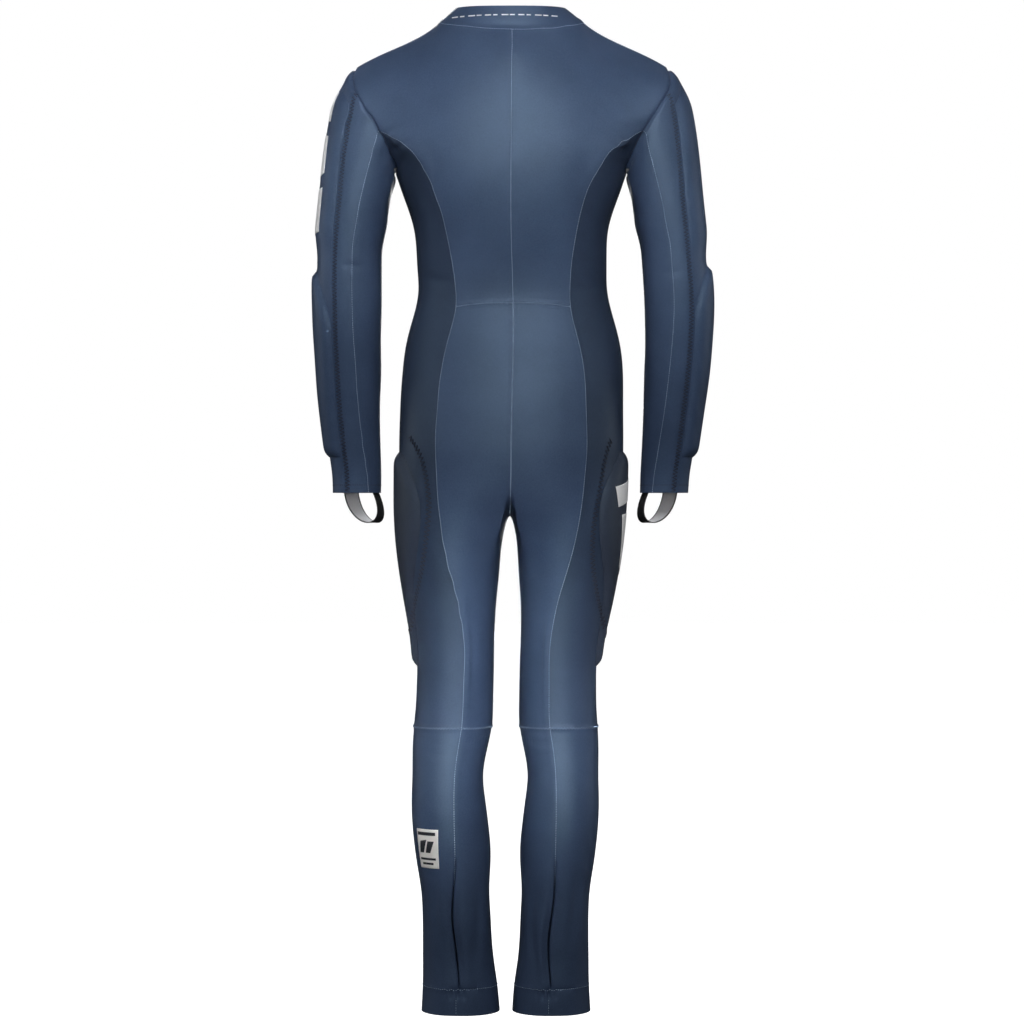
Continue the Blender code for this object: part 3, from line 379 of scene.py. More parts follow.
# The creases: view, width, depth and the stops of each, in metres. A crease is a soft
# trough with a low ridge on each side, deepest in its middle.
CREASES = (
    # armpits, where the sleeve's seam pulls on the back
    ("back", 0.0045, 0.0020, ((-0.176, -0.128), (-0.163, -0.121), (-0.146, -0.119))),
    ("back", 0.0045, 0.0022, ((0.182, -0.118), (0.168, -0.111), (0.147, -0.109))),
    ("back", 0.0060, 0.0018, ((-0.166, -0.150), (-0.150, -0.142), (-0.136, -0.137))),
    ("back", 0.0060, 0.0015, ((0.168, -0.150), (0.152, -0.145), (0.140, -0.134))),
    ("front", 0.0060, 0.0020, ((-0.176, -0.128), (-0.160, -0.118), (-0.141, -0.112))),
    ("front", 0.0055, 0.0018, ((0.178, -0.130), (0.160, -0.124), (0.145, -0.121))),
    # waist
    ("back", 0.0090, 0.0012, ((-0.126, -0.318), (-0.104, -0.327), (-0.083, -0.330))),
    ("back", 0.0080, 0.0011, ((0.128, -0.330), (0.108, -0.336), (0.089, -0.334))),
    ("front", 0.0100, 0.0016, ((-0.118, -0.322), (-0.092, -0.334), (-0.058, -0.336))),
    ("front", 0.0090, 0.0014, ((0.120, -0.344), (0.090, -0.350), (0.052, -0.345))),
    ("front", 0.0100, 0.0012, ((-0.100, -0.372), (-0.070, -0.378), (-0.040, -0.374))),
    # at the fork, in front
    ("front", 0.0070, 0.0022, ((-0.018, -0.628), (-0.050, -0.610), (-0.086, -0.585))),
    ("front", 0.0070, 0.0020, ((0.019, -0.630), (0.052, -0.608), (0.092, -0.588))),
    # backs of the knees
    ("back", 0.0050, 0.0018, ((-0.028, -0.958), (-0.050, -0.966), (-0.070, -0.962))),
    ("back", 0.0050, 0.0016, ((0.016, -0.960), (0.036, -0.967), (0.058, -0.964))),
    ("back", 0.0060, 0.0012, ((-0.124, -0.975), (-0.104, -0.984), (-0.085, -0.980))),
    ("back", 0.0060, 0.0012, ((0.118, -0.972), (0.098, -0.980), (0.078, -0.978))),
    ("front", 0.0080, 0.0014, ((-0.118, -0.990), (-0.084, -1.000), (-0.050, -0.992))),
    ("front", 0.0080, 0.0014, ((0.112, -0.986), (0.078, -0.998), (0.042, -0.994))),
    # slack cloth beside the back seams of the lower legs
    ("back", 0.0110, 0.0028, ((-0.100, -1.130), (-0.104, -1.180), (-0.098, -1.240), (-0.095, -1.290))),
    ("back", 0.0100, 0.0026, ((0.086, -1.130), (0.090, -1.185), (0.084, -1.240), (0.080, -1.285))),
    ("back", 0.0090, 0.0020, ((-0.046, -1.160), (-0.044, -1.215), (-0.049, -1.280))),
    ("back", 0.0090, 0.0018, ((0.032, -1.165), (0.030, -1.225), (0.036, -1.285))),
    ("front", 0.0100, 0.0030, ((-0.090, -1.180), (-0.084, -1.240), (-0.088, -1.295))),
    ("front", 0.0100, 0.0026, ((0.074, -1.190), (0.080, -1.245), (0.075, -1.298))),
    ("front", 0.0110, 0.0022, ((-0.060, -1.240), (-0.066, -1.275), (-0.060, -1.300))),
    ("front", 0.0110, 0.0020, ((0.052, -1.235), (0.047, -1.270), (0.053, -1.300))),
    # inner elbows and forearms
    ("front", 0.0060, 0.0024, ((-0.250, -0.320), (-0.226, -0.330), (-0.202, -0.324))),
    ("front", 0.0060, 0.0022, ((0.252, -0.326), (0.228, -0.334), (0.204, -0.330))),
    ("front", 0.0070, 0.0020, ((-0.246, -0.352), (-0.224, -0.358), (-0.204, -0.350))),
    ("front", 0.0070, 0.0018, ((0.248, -0.356), (0.226, -0.364), (0.204, -0.360))),
    ("back", 0.0070, 0.0012, ((-0.236, -0.300), (-0.220, -0.308), (-0.200, -0.304))),
    ("back", 0.0070, 0.0012, ((0.238, -0.310), (0.222, -0.316), (0.202, -0.312))),
)
CREASE_END = 0.04  # the share of a crease at each end that keeps its least depth


def lay_crease(view, width, depth, stops):
    """The skin points near a crease and how far each of them moves."""
    sight = np.array(VIEWS[view])
    line = curve_through([(across, 0, height) for across, height in stops], 0.004)
    found = [onto(plain_tree, view, p[0], p[2])[0] for p in line]
    line = np.array([tuple(p) for p in found if p is not None])
    along = np.linspace(0, 1, len(line))
    low = line.min(axis=0) - 4 * width
    high = line.max(axis=0) + 4 * width
    near = np.all((skin_points > low) & (skin_points < high), axis=1) & (skin_normals @ sight < 0.1)
    index = np.flatnonzero(near)
    gap = np.linalg.norm(skin_points[index, None] - line[None], axis=2)
    nearest = gap.argmin(axis=1)
    u = gap.min(axis=1) / width
    strength = np.sin(np.pi * np.clip(along[nearest], CREASE_END, 1 - CREASE_END)) ** 0.8
    trough = (1 - 0.9 * u**2) * np.exp(-(u**2) / 1.6)
    return index, -(depth * strength * trough)[:, None] * skin_normals[index]


moves = [lay_crease(*crease) for crease in CREASES]
for index, move in moves:
    skin_points[index] += move
skin_normals = point_normals(skin_points, skin_quads)

# Seams: every line where two cut pieces meet, as a run of the skin's points.
panel_of = skin_labels % LAID_STEP
edges = np.concatenate([skin_quads[:, [i, (i + 1) % 4]] for i in range(4)])
edges.sort(axis=1)
owners = np.tile(panel_of, 4)
order = np.lexsort((edges[:, 1], edges[:, 0]))
edges = edges[order]
owners = owners[order]
paired = np.flatnonzero(np.all(edges[1:] == edges[:-1], axis=1))
crossing = paired[owners[paired] != owners[paired + 1]]
seam_edges = {}
for i in crossing:
    pair = tuple(sorted((int(owners[i]), int(owners[i + 1]))))
    seam_edges.setdefault(pair, []).append((int(edges[i][0]), int(edges[i][1])))
seam_numbers = np.unique(edges[crossing])


def runs_of(pairs):
    """Joins loose edges end to end, as lists of point numbers."""
    beside = {}
    for a, b in pairs:
        beside.setdefault(a, []).append(b)
        beside.setdefault(b, []).append(a)
    ends = sorted(beside, key=lambda number: (len(beside[number]) == 2, number))
    used = set()
    runs = []
    for first in ends:
        for second in beside[first]:
            if (first, second) in used:
                continue
            run = [first, second]
            used |= {(first, second), (second, first)}
            while len(beside[run[-1]]) == 2:
                onward = [n for n in beside[run[-1]] if (run[-1], n) not in used]
                if not onward:
                    break
                used |= {(run[-1], onward[0]), (onward[0], run[-1])}
                run.append(onward[0])
            runs.append(run)
    return runs


def seam_between(first, second):
    """The runs of skin points where two cut pieces meet."""
    pair = tuple(sorted((PIECE_NAMES.index(first), PIECE_NAMES.index(second))))
    return runs_of(seam_edges.get(pair, []))


# How far each point is from the nearest seam, for the puckers and the pressed line beside it. Only seams in
# the same cell of space or one next to it count; anything farther is taken as far.
FAR_FROM_SEAM = 0.05
seam_distance = np.full(len(skin_points), FAR_FROM_SEAM)
seam_places = skin_points[seam_numbers]
cell = 0.02
buckets = {}
for number, key in enumerate(map(tuple, np.floor(seam_places / cell).astype(int))):
    buckets.setdefault(key, []).append(number)
keys = np.floor(skin_points / cell).astype(int)
_, first_of, group_of = np.unique(keys, axis=0, return_index=True, return_inverse=True)
group_of = group_of.ravel()
members = np.argsort(group_of, kind="stable")
bounds_of = np.searchsorted(group_of[members], np.arange(len(first_of) + 1))
for group, first in enumerate(first_of):
    near = []
    kx, ky, kz = keys[first]
    for dx in (-1, 0, 1):
        for dy in (-1, 0, 1):
            for dz in (-1, 0, 1):
                near += buckets.get((kx + dx, ky + dy, kz + dz), [])
    if near:
        index = members[bounds_of[group] : bounds_of[group + 1]]
        gap = np.linalg.norm(skin_points[index, None] - seam_places[near][None], axis=2).min(axis=1)
        seam_distance[index] = np.minimum(gap, FAR_FROM_SEAM)


ARMHOLE_DEPTH = 0.0036
KNEE_RIDGE = 0.0009
PLAIN_SEAM_DEPTH = 0.0001


def seam_depth(first, second):
    """How deep a seam lies in the cloth: deepest at the armholes, while the knee seam stands up a little."""
    sleeve_parts = first.startswith("sleeve") + second.startswith("sleeve")
    calf_parts = first.startswith("calf") + second.startswith("calf")
    if sleeve_parts == 1:
        return ARMHOLE_DEPTH
    if calf_parts == 1 and "hem_band" not in first + second:
        return -KNEE_RIDGE
    if "zip_tape" in first and "zip_tape" in second:
        return 0.0
    if sleeve_parts and "outer" in first + second:
        return 0.0
    return PLAIN_SEAM_DEPTH


def bell(distance, reach):
    """One at no distance, and falling off softly over a reach."""
    return np.exp(-((distance / reach) ** 2))


pressed = np.zeros(len(skin_points))
for (first, second), pairs in seam_edges.items():
    depth = seam_depth(PIECE_NAMES[first], PIECE_NAMES[second])
    along_seam = np.unique(pairs)
    pressed[along_seam] = np.where(abs(depth) > np.abs(pressed[along_seam]), depth, pressed[along_seam])
sunk = KDTree(len(seam_numbers))
for number in seam_numbers:
    sunk.insert(skin_points[number], int(number))
sunk.balance()

# Below the calves the slack cloth folds in along the back seam. It is gathered where it meets the hem, and
# each fold wanders a little sideways: the seam's x, the height, how far it runs and how far it goes.
CALF_FOLD_HEIGHTS = (-1.36, -1.308, -1.298, -1.250, -1.190, -1.145, -1.120)
CALF_FOLD_DEPTHS = (0.0, 0.0, 0.0080, 0.0120, 0.0110, 0.0050, 0.0)
CALF_FOLD_TOP = -1.12
HEM_SEAM_X = {"left": -0.0756, "right": 0.0514}
GATHER_DEPTH = 0.0030
GATHER_PITCH = 0.0088
CALF_SWAY = (
    (-0.0770, -1.205, 0.045, -0.0055),
    (0.0590, -1.245, 0.050, -0.0085),
)
shift = np.zeros(len(skin_points))
pinch = np.zeros_like(skin_points)
for number in np.flatnonzero(seam_distance < 0.014):
    _, nearest, gap = sunk.find(skin_points[number])
    shift[number] = pressed[nearest] * bell(gap, 0.0024)
    x, y, z = skin_points[nearest]
    if z < CALF_FOLD_TOP and y < -0.03 and abs(abs(x) - 0.066) < 0.02:
        fold = np.interp(z, CALF_FOLD_HEIGHTS, CALF_FOLD_DEPTHS)
        shift[number] += fold * bell(gap, 0.0017)
        drawn_in = 0.72 * min(1, fold / 0.009) * bell(gap, 0.007)
        pinch[number] = (skin_points[nearest] - skin_points[number]) * drawn_in
x, y, z = skin_points.T
for seam_x in HEM_SEAM_X.values():
    near = (y < 0) & (np.abs(z + 1.3155) < 0.016) & (np.abs(x - seam_x) < 0.035)
    gathered = bell(x - seam_x, 0.013) * bell(z + 1.3135, 0.0050)
    ripple = 1 + np.sin(2 * np.pi * (x - seam_x) / GATHER_PITCH)
    shift += np.where(near, GATHER_DEPTH * gathered * ripple, 0)
skin_points += pinch - shift[:, None] * skin_normals
for seam_x, middle, run, sway in CALF_SWAY:
    x, y, z = skin_points.T
    near = bell(x - seam_x, 0.022) * bell(z - middle, run)
    skin_points[:, 0] += np.where(y < 0, sway * near, 0)
skin_normals = point_normals(skin_points, skin_quads)


def add_noise(tree, place, scale, detail=2):
    """Smooth noise over a place, as a value."""
    inputs = {"Vector": place, "Scale": scale, "Detail": detail}
    return add_node(tree, "ShaderNodeTexNoise", inputs).outputs["Fac"]


def add_ramp(tree, value, stops):
    """A value turned into a colour; each stop is a value and its colour."""
    ramp = add_node(tree, "ShaderNodeValToRGB", {"Fac": value})
    marks = ramp.color_ramp.elements
    for mark, (position, colour) in zip(marks, (stops[0], stops[-1])):
        mark.position = position
        mark.color = (*colour, 1)
    for position, colour in stops[1:-1]:
        marks.new(position).color = (*colour, 1)
    return ramp.outputs["Color"]


def add_bump(tree, height, strength, distance, below=None):
    """Bumps of a height, on top of the bumps below them."""
    inputs = {"Height": height, "Strength": strength, "Distance": distance}
    if below:
        inputs["Normal"] = below
    return add_node(tree, "ShaderNodeBump", inputs).outputs["Normal"]


def new_material(name, roughness):
    """A material's node tree, its shader's inputs and the object's own coordinates."""
    material = bpy.data.materials.new(name)
    material.use_nodes = True
    tree = material.node_tree
    shader = tree.nodes["Principled BSDF"].inputs
    shader["Roughness"].default_value = roughness
    return material, tree, shader, add_node(tree, "ShaderNodeTexCoord").outputs["Object"]


def knit_material(name, light, dark, roughness, seam_lift, painted_shade_above_knee=False):
    """Stretch knit with a satin face: fine wales, a slow mottle and small puckers beside each seam; where
    asked, painted shade makes its colour darker above the knee.
    """
    material, tree, shader, place = new_material(name, roughness)
    shader["Specular IOR Level"].default_value = 0.42
    shader["Specular Tint"].default_value = (0.55, 0.80, 1.0, 1)
    mottle = add_noise(tree, place, 11, 5)
    speck = add_noise(tree, place, 620, 2)
    blend = add_node(tree, "ShaderNodeMath", {0: speck, 1: 0.65, 2: mottle}, "MULTIPLY_ADD")
    colour = add_ramp(tree, blend.outputs["Value"], ((0.58, dark), (1.0, light)))
    # painted shade: the knit's colour is scaled darker above the knee
    if painted_shade_above_knee:  # darker above the knee
        height = add_node(tree, "ShaderNodeSeparateXYZ", {"Vector": place}).outputs["Z"]
        slope = {"Value": height, "From Min": -0.93, "From Max": -0.74, "To Min": 1.0, "To Max": 0.58}
        shade = add_node(tree, "ShaderNodeMapRange", slope).outputs["Result"]
        weaker = add_node(tree, "ShaderNodeVectorMath", {"Vector": colour, "Scale": shade}, "SCALE")
        colour = weaker.outputs["Vector"]
    tree.links.new(colour, shader["Base Color"])

    along_wales = add_node(tree, "ShaderNodeMapping", {"Vector": place, "Scale": (1, 1, 0.28)})
    fine = add_bump(tree, add_noise(tree, along_wales.outputs["Vector"], 1500, 1), 0.35, 0.0003)
    distance = add_node(tree, "ShaderNodeAttribute")
    distance.attribute_name = "seam_distance"
    fade = {"From Min": 0.0, "From Max": 0.0075, "To Min": 1.0, "To Max": 0.0}
    beside = add_node(tree, "ShaderNodeMapRange", {"Value": distance.outputs["Fac"], **fade})
    beside.interpolation_type = "SMOOTHSTEP"
    pucker = add_noise(tree, place, 230, 1)
    lifted = add_node(tree, "ShaderNodeMath", {0: beside.outputs["Result"], 1: pucker}, "MULTIPLY")
    drag = add_noise(tree, place, 45, 3)
    heights = {0: lifted.outputs["Value"], 1: seam_lift, 2: drag}
    height = add_node(tree, "ShaderNodeMath", heights, "MULTIPLY_ADD")
    broad = add_bump(tree, height.outputs["Value"], 0.5, 0.0008, fine)
    tree.links.new(broad, shader["Normal"])
    return material


NAVY = knit_material("navy_satin_knit", (0.052, 0.080, 0.150), (0.036, 0.056, 0.108), 0.50, 2.0)
# The side panels' knit is a darker copy of the navy, which is painted shade, and more painted shade darkens it
# above the knee.
SIDE_NAVY = knit_material(
    "navy_satin_knit_painted_shade", (0.052, 0.077, 0.141), (0.036, 0.054, 0.101), 0.53, 1.8, painted_shade_above_knee=True
)
DEEP_NAVY = knit_material("deep_navy_cover_knit", (0.034, 0.042, 0.066), (0.026, 0.032, 0.051), 0.56, 1.2)


EDGE_CLEARANCE = 0.00002


def finished_mesh(name, places, faces, material, distances=None):
    """A piece's object at the origin, smooth, with its place in its mesh."""
    mesh = bpy.data.meshes.new(name)
    mesh.from_pydata([tuple(p) for p in places], [], [tuple(int(i) for i in f) for f in faces])
    mesh.shade_smooth()
    mesh.materials.append(material)
    if distances is not None:
        kept = mesh.attributes.new("seam_distance", "FLOAT", "POINT")
        kept.data.foreach_set("value", distances)
    made = bpy.data.objects.new(name, mesh)
    scene.collection.objects.link(made)
    return made


def open_rim(quads):
    """All sides of some quads, and the ones on their open rim, running with the faces."""
    sides = np.concatenate([quads[:, [i, (i + 1) % 4]] for i in range(4)])
    _, where, count = np.unique(np.sort(sides, axis=1), axis=0, return_index=True, return_counts=True)
    return sides, sides[where[count == 1]]


def make_crisp(made, rim):
    """Keeps the smooth shading from running round a piece's rim."""
    borders = {tuple(pair) for pair in np.sort(rim, axis=1).tolist()}
    crisp = [tuple(sorted(line.vertices)) in borders for line in made.data.edges]
    made.data.attributes.new("sharp_edge", "BOOLEAN", "EDGE").data.foreach_set("value", crisp)


def cut_out(name, quads, thickness, material):
    """One cut piece of the skin, a hair clear of its neighbours, with its edges turned in a little."""
    used, local = np.unique(quads, return_inverse=True)
    local = local.reshape(-1, 4)
    places = skin_points[used]
    normals = skin_normals[used]
    _, rim = open_rim(local)
    along = places[rim[:, 1]] - places[rim[:, 0]]
    inward = np.zeros_like(places)
    for end in (0, 1):
        pull = np.cross(normals[rim[:, end]], along)
        pull /= np.maximum(np.linalg.norm(pull, axis=1, keepdims=True), 1e-12)
        np.add.at(inward, rim[:, end], pull)
    size = np.maximum(np.linalg.norm(inward, axis=1, keepdims=True), 1e-12)
    edge = np.unique(rim)
    places[edge] += (inward / size)[edge] * EDGE_CLEARANCE
    made = finished_mesh(name, places, local, material, seam_distance[used])
    make_crisp(made, rim)
    wall = made.modifiers.new("cloth_thickness", "SOLIDIFY")
    wall.thickness = thickness
    wall.offset = -1
    wall.use_even_offset = False
    return made


COARSE_IS_ENOUGH = ("front", "sleeve_front", "zip_tape")
PLAIN_THICKNESS = 0.0012
THICKNESS = {"collar": 0.0020, "hem_band": 0.0021}
# Each piece's flat cut: width, length and area, with what it is sewn to
FLAT_CUTS = {
    "collar": (0.47, 0.062, 0.0190, ("back_left", "front_left")),
    "back": (0.22, 0.41, 0.0600, ("side_chest", "sleeve_back")),
    "seat": (0.16, 0.61, 0.0600, ("side_hip", "back")),
    "side": (0.36, 0.86, 0.1660, ("back", "seat", "front")),
    "front": (0.23, 1.01, 0.1220, ("side_chest", "zip_tape")),
    "zip_tape": (0.0105, 0.56, 0.0034, ("front",)),
    "sleeve_under": (0.20, 0.52, 0.0550, ("sleeve_back", "sleeve_front")),
    "sleeve_back": (0.055, 0.58, 0.0186, ("sleeve_under", "outer_elbow")),
    "sleeve_front": (0.055, 0.58, 0.0186, ("sleeve_under", "outer_elbow")),
    "sleeve_outer": (0.13, 0.61, 0.0540, ("sleeve_back", "sleeve_front")),
    "calf_inner": (0.18, 0.36, 0.0585, ("calf_outer", "seat")),
    "calf_outer": (0.19, 0.36, 0.0610, ("calf_inner", "side_knee")),
    "hem_band": (0.34, 0.037, 0.0125, ("calf_inner", "calf_outer")),
}
for number, (name, lengths) in enumerate(CUT_PIECES.items()):
    kind, _, side = name.rpartition("_") if name != "collar" else ("collar", "", "")
    if kind in COARSE_IS_ENOUGH:
        quads = coarse_quads[coarse_labels % LAID_STEP == number]
    else:
        quads = skin_quads[panel_of == number]
    cloth = {"zip_tape": DEEP_NAVY, "side": SIDE_NAVY}.get(kind, NAVY)
    piece = cut_out(f"{name}_cloth", quads, THICKNESS.get(kind, PLAIN_THICKNESS), cloth)
    width, length, area, sewn_to = FLAT_CUTS[kind]
    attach(piece, "suit")
    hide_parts(*lengths)
    neighbours = [other if name == "collar" else f"{other}_{side}" for other in sewn_to]

# Pads: foam laid on the outer sleeves and the hips, each under a cover of the same knit that is stitched
# down round it. The cover rises in a soft slope from the stitching to the foam's crowned top.
PAD_FORMS = {  # foam thickness, how far in its slope runs, and the cover's rise at its edge
    "hip_pad": (0.0072, 0.013, 0.0004),
    "upper_arm_pad": (0.0040, 0.012, 0.0003),
    "forearm_pad": (0.0066, 0.012, 0.0003),
}
PAD_SMOOTHING = 6
PAD_TOPS = (  # which covers, the height each ends at, the x it slants down from, its slant, the fade's length
    ("upper_arm_pad", -0.040, 0.0, 0.0, 0.045),
    ("forearm_pad", -0.2996, 0.273, 3.7, 0.012),
    ("hip_pad_left", -0.560, 0.1554, 2.0, 0.010),
)
UPPER_ARM_PAD_FOOT = -0.297
UPPER_ARM_PAD_FADE = 0.050


def pad_cover(name, number, thickness, slope, lip):
    """A pad's closed form: the skin under it below, and the cover's crowned face on top."""
    x, y, z = skin_points.T
    keep = np.ones(len(z))
    for covers, top, slants_from, slant, fade in PAD_TOPS:
        if name.startswith(covers):
            keep = (top - slant * np.maximum(0, slants_from - np.abs(x)) - z) / fade
    if name.startswith("upper_arm"):
        keep = np.minimum(keep, (z - UPPER_ARM_PAD_FOOT) / UPPER_ARM_PAD_FADE)
    if name.startswith("hip"):
        keep = np.where(y < 0, keep, 1)
    keep = np.clip(keep, 0, 1)
    quads = skin_quads[(skin_labels // LAID_STEP) == number]
    quads = quads[keep[quads].max(axis=1) > 0]
    used, local = np.unique(quads, return_inverse=True)
    local = local.reshape(-1, 4)
    places = skin_points[used]
    normals = skin_normals[used]
    keep = keep[used]
    sides, rim = open_rim(local)
    edge = np.unique(rim)
    nearest = KDTree(len(edge))
    for i in edge:
        nearest.insert(places[i], int(i))
    nearest.balance()
    inside = np.array([nearest.find(place)[2] for place in places])
    rise = np.clip(inside / slope, 0, 1)
    height = lip + thickness * (1 - (1 - rise) ** 2.2) ** 0.75
    both = np.concatenate([sides, sides[:, ::-1]])
    for _ in range(PAD_SMOOTHING):
        total = np.zeros(len(height))
        parts = np.zeros(len(height))
        np.add.at(total, both[:, 0], height[both[:, 1]])
        np.add.at(parts, both[:, 0], 1)
        height = height + 0.6 * (total / parts - height)
        height[edge] = lip
    height = height * keep * keep * (3 - 2 * keep)
    top = places + normals * (0.0002 + height)[:, None]
    foot = places + normals * 0.0001
    below = len(used)
    walls = np.stack([rim[:, 1], rim[:, 0], rim[:, 0] + below, rim[:, 1] + below], axis=1)
    faces = np.concatenate([local, local[:, ::-1] + below, walls])
    cover = DEEP_NAVY if name.startswith("hip") else NAVY
    made = finished_mesh(name, np.concatenate([top, foot]), faces, cover, np.tile(inside, 2))
    make_crisp(made, rim)
    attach(made, "suit")
    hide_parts(LAID_ON[number - 1])
    return top, local


dressed_points = [skin_points]
dressed_quads = [skin_quads]
start = len(skin_points)
for number, name in enumerate(LAID_ON, start=1):
    thickness, slope, lip = PAD_FORMS[name.rpartition("_")[0]]
    top, local = pad_cover(f"{name}_cover", number, thickness, slope, lip)
    dressed_points.append(top)
    dressed_quads.append(local + start)
    start += len(top)
dressed_tree = skin_tree(np.concatenate(dressed_points), np.concatenate(dressed_quads))


def around(side, middle, azimuth, height, reach=0.105):
    """Where a ray from outside, at an azimuth from straight behind towards the outer side, meets the suit."""
    sign = -1 if side == "left" else 1
    turn = math.radians(azimuth)
    way = Vector((sign * math.sin(turn), -math.cos(turn), 0))
    centre = Vector((sign * middle[0], middle[1], height))
    return dressed_tree.ray_cast(centre + way * reach, -way)[:2]


# Sewing: polyester thread. The panel seams are sewn flat with a pale blue thread that shows as a fine
# line; the pads' covers are quilted down with a wide zigzag in dark thread.
STITCH = 0.0023
STITCH_PITCH = 0.0032
THREAD = 0.00072
ZIGZAG_STEP = 0.0025
ZIGZAG_HALF_WIDTH = 0.0038

bpy.ops.mesh.primitive_uv_sphere_add(segments=6, ring_count=4, radius=0.5)
pattern = bpy.context.object
bpy.ops.object.mode_set(mode="EDIT")
bpy.ops.mesh.select_all(action="SELECT")
bpy.ops.transform.rotate(value=math.radians(90), orient_axis="Y", center_override=(0, 0, 0))
bpy.ops.object.mode_set(mode="OBJECT")
stitch_points = np.array([tuple(vert.co) for vert in pattern.data.vertices])
stitch_points[:, 0] = np.sign(stitch_points[:, 0]) * np.abs(stitch_points[:, 0] * 2) ** 0.5 / 2
stitch_faces = [tuple(face.vertices) for face in pattern.data.polygons]
bpy.data.objects.remove(pattern)


def many_of(name, points, faces, origins, alongs, outs, sizes, material):
    """One object of many like shapes: each is placed at an origin, turned along and out, and sized."""
    alongs = alongs / np.linalg.norm(alongs, axis=1, keepdims=True)
    across = np.cross(outs, alongs)
    across /= np.linalg.norm(across, axis=1, keepdims=True)
    ups = np.cross(alongs, across)
    sizes = np.broadcast_to(sizes, (len(origins), 3))
    axes = np.stack([alongs, across, ups], axis=1) * sizes[:, :, None]
    places = origins[:, None] + np.einsum("kc,ncd->nkd", points, axes)
    shapes = [[i + k * len(points) for i in face] for k in range(len(origins)) for face in faces]
    return finished_mesh(name, places.reshape(-1, 3), shapes, material)


def evenly(places, normals, step):
    """Points a step apart along a line, with its direction and the cloth's normal at each."""
    lengths = np.linalg.norm(np.diff(places, axis=0), axis=1)
    reach = np.concatenate([[0], np.cumsum(lengths)])
    count = max(2, int(reach[-1] / step))
    at = (np.arange(count) + 0.5) * reach[-1] / count
    spots = np.stack([np.interp(at, reach, places[:, i]) for i in range(3)], axis=1)
    outs = np.stack([np.interp(at, reach, normals[:, i]) for i in range(3)], axis=1)
    ahead = np.gradient(spots, axis=0)
    outs /= np.linalg.norm(outs, axis=1, keepdims=True)
    return spots, ahead, outs


def eased(places, rounds=3):
    """Evens out the small steps of a run of mesh points, with its ends kept."""
    places = places.copy()
    for _ in range(rounds):
        places[1:-1] = (places[:-2] + 2 * places[1:-1] + places[2:]) / 4
    return places


def thread_material(name, colour, darkest=0.62):
    """Twisted thread: a matt sheen with a slight change of tone from place to place."""
    material, tree, shader, place = new_material(name, 0.6)
    dark = tuple(darkest * part for part in colour)
    tone = add_ramp(tree, add_noise(tree, place, 90), ((0.3, dark), (0.7, colour)))
    tree.links.new(tone, shader["Base Color"])
    return material


PALE_THREAD = thread_material("pale_blue_thread", (0.42, 0.56, 0.76))
WORN_THREAD = thread_material("worn_blue_thread", (0.22, 0.31, 0.45))
DARK_THREAD = thread_material("dark_blue_thread", (0.006, 0.008, 0.022))


def sew_line(name, lines, material, thread=THREAD, pitch=STITCH_PITCH, length=STITCH):
    """Straight stitches along several lines of places and normals, as one piece."""
    parts = [evenly(places, normals, pitch) for places, normals in lines]
    spots, ahead, outs = (np.concatenate([part[i] for part in parts]) for i in range(3))
    made = many_of(name, stitch_points, stitch_faces, spots, ahead, outs, (length, thread, thread), material)
    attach(made, "suit")
    return made


def sew_zigzag(name, lines, material, half_width=ZIGZAG_HALF_WIDTH, thread=0.0011, step=ZIGZAG_STEP):
    """A zigzag: each stroke runs from one side of the line to the other."""
    origins, strokes, tops = [], [], []
    for places, normals in lines:
        spots, ahead, outs = evenly(places, normals, step)
        across = np.cross(outs, ahead)
        across /= np.linalg.norm(across, axis=1, keepdims=True)
        swing = half_width * np.where(np.arange(len(spots)) % 2, 1, -1)
        ends = spots + across * swing[:, None]
        origins.append((ends[1:] + ends[:-1]) / 2)
        strokes.append(ends[1:] - ends[:-1])
        tops.append(outs[1:])
    origins, strokes, tops = (np.concatenate(part) for part in (origins, strokes, tops))
    sizes = np.full((len(origins), 3), thread)
    sizes[:, 0] = np.linalg.norm(strokes, axis=1)
    made = many_of(name, stitch_points, stitch_faces, origins, strokes, tops, sizes, material)
    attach(made, "suit")
    return made


def line_of(hits, lift=0.0):
    """The places and normals where a row of rays met the suit, lifted off it."""
    places = np.array([tuple(place) for place, _ in hits if place is not None])
    normals = np.array([tuple(normal) for place, normal in hits if place is not None])
    return places + normals * lift, normals


def seam_line(run, lift=0.0):
    """The places and normals along a run of the skin's points, evened out and lifted off it."""
    places = eased(skin_points[run])
    return places + skin_normals[run] * lift, skin_normals[run]


def beside_strip(run, gap=0.0062):
    """A line on the cloth along the pad strip, a gap away from the strip's edge and off the pad."""
    places, normals = seam_line(run)
    away = np.cross(normals, np.gradient(places, axis=0))
    away /= np.linalg.norm(away, axis=1, keepdims=True)
    away *= -np.sign(away[:, :1] * places[:, :1])
    found = [dressed_tree.find_nearest(Vector(place)) for place in places + away * gap]
    outs = np.array([tuple(hit[1]) for hit in found])
    return eased(np.array([tuple(hit[0]) for hit in found])) + outs * 0.0005, outs


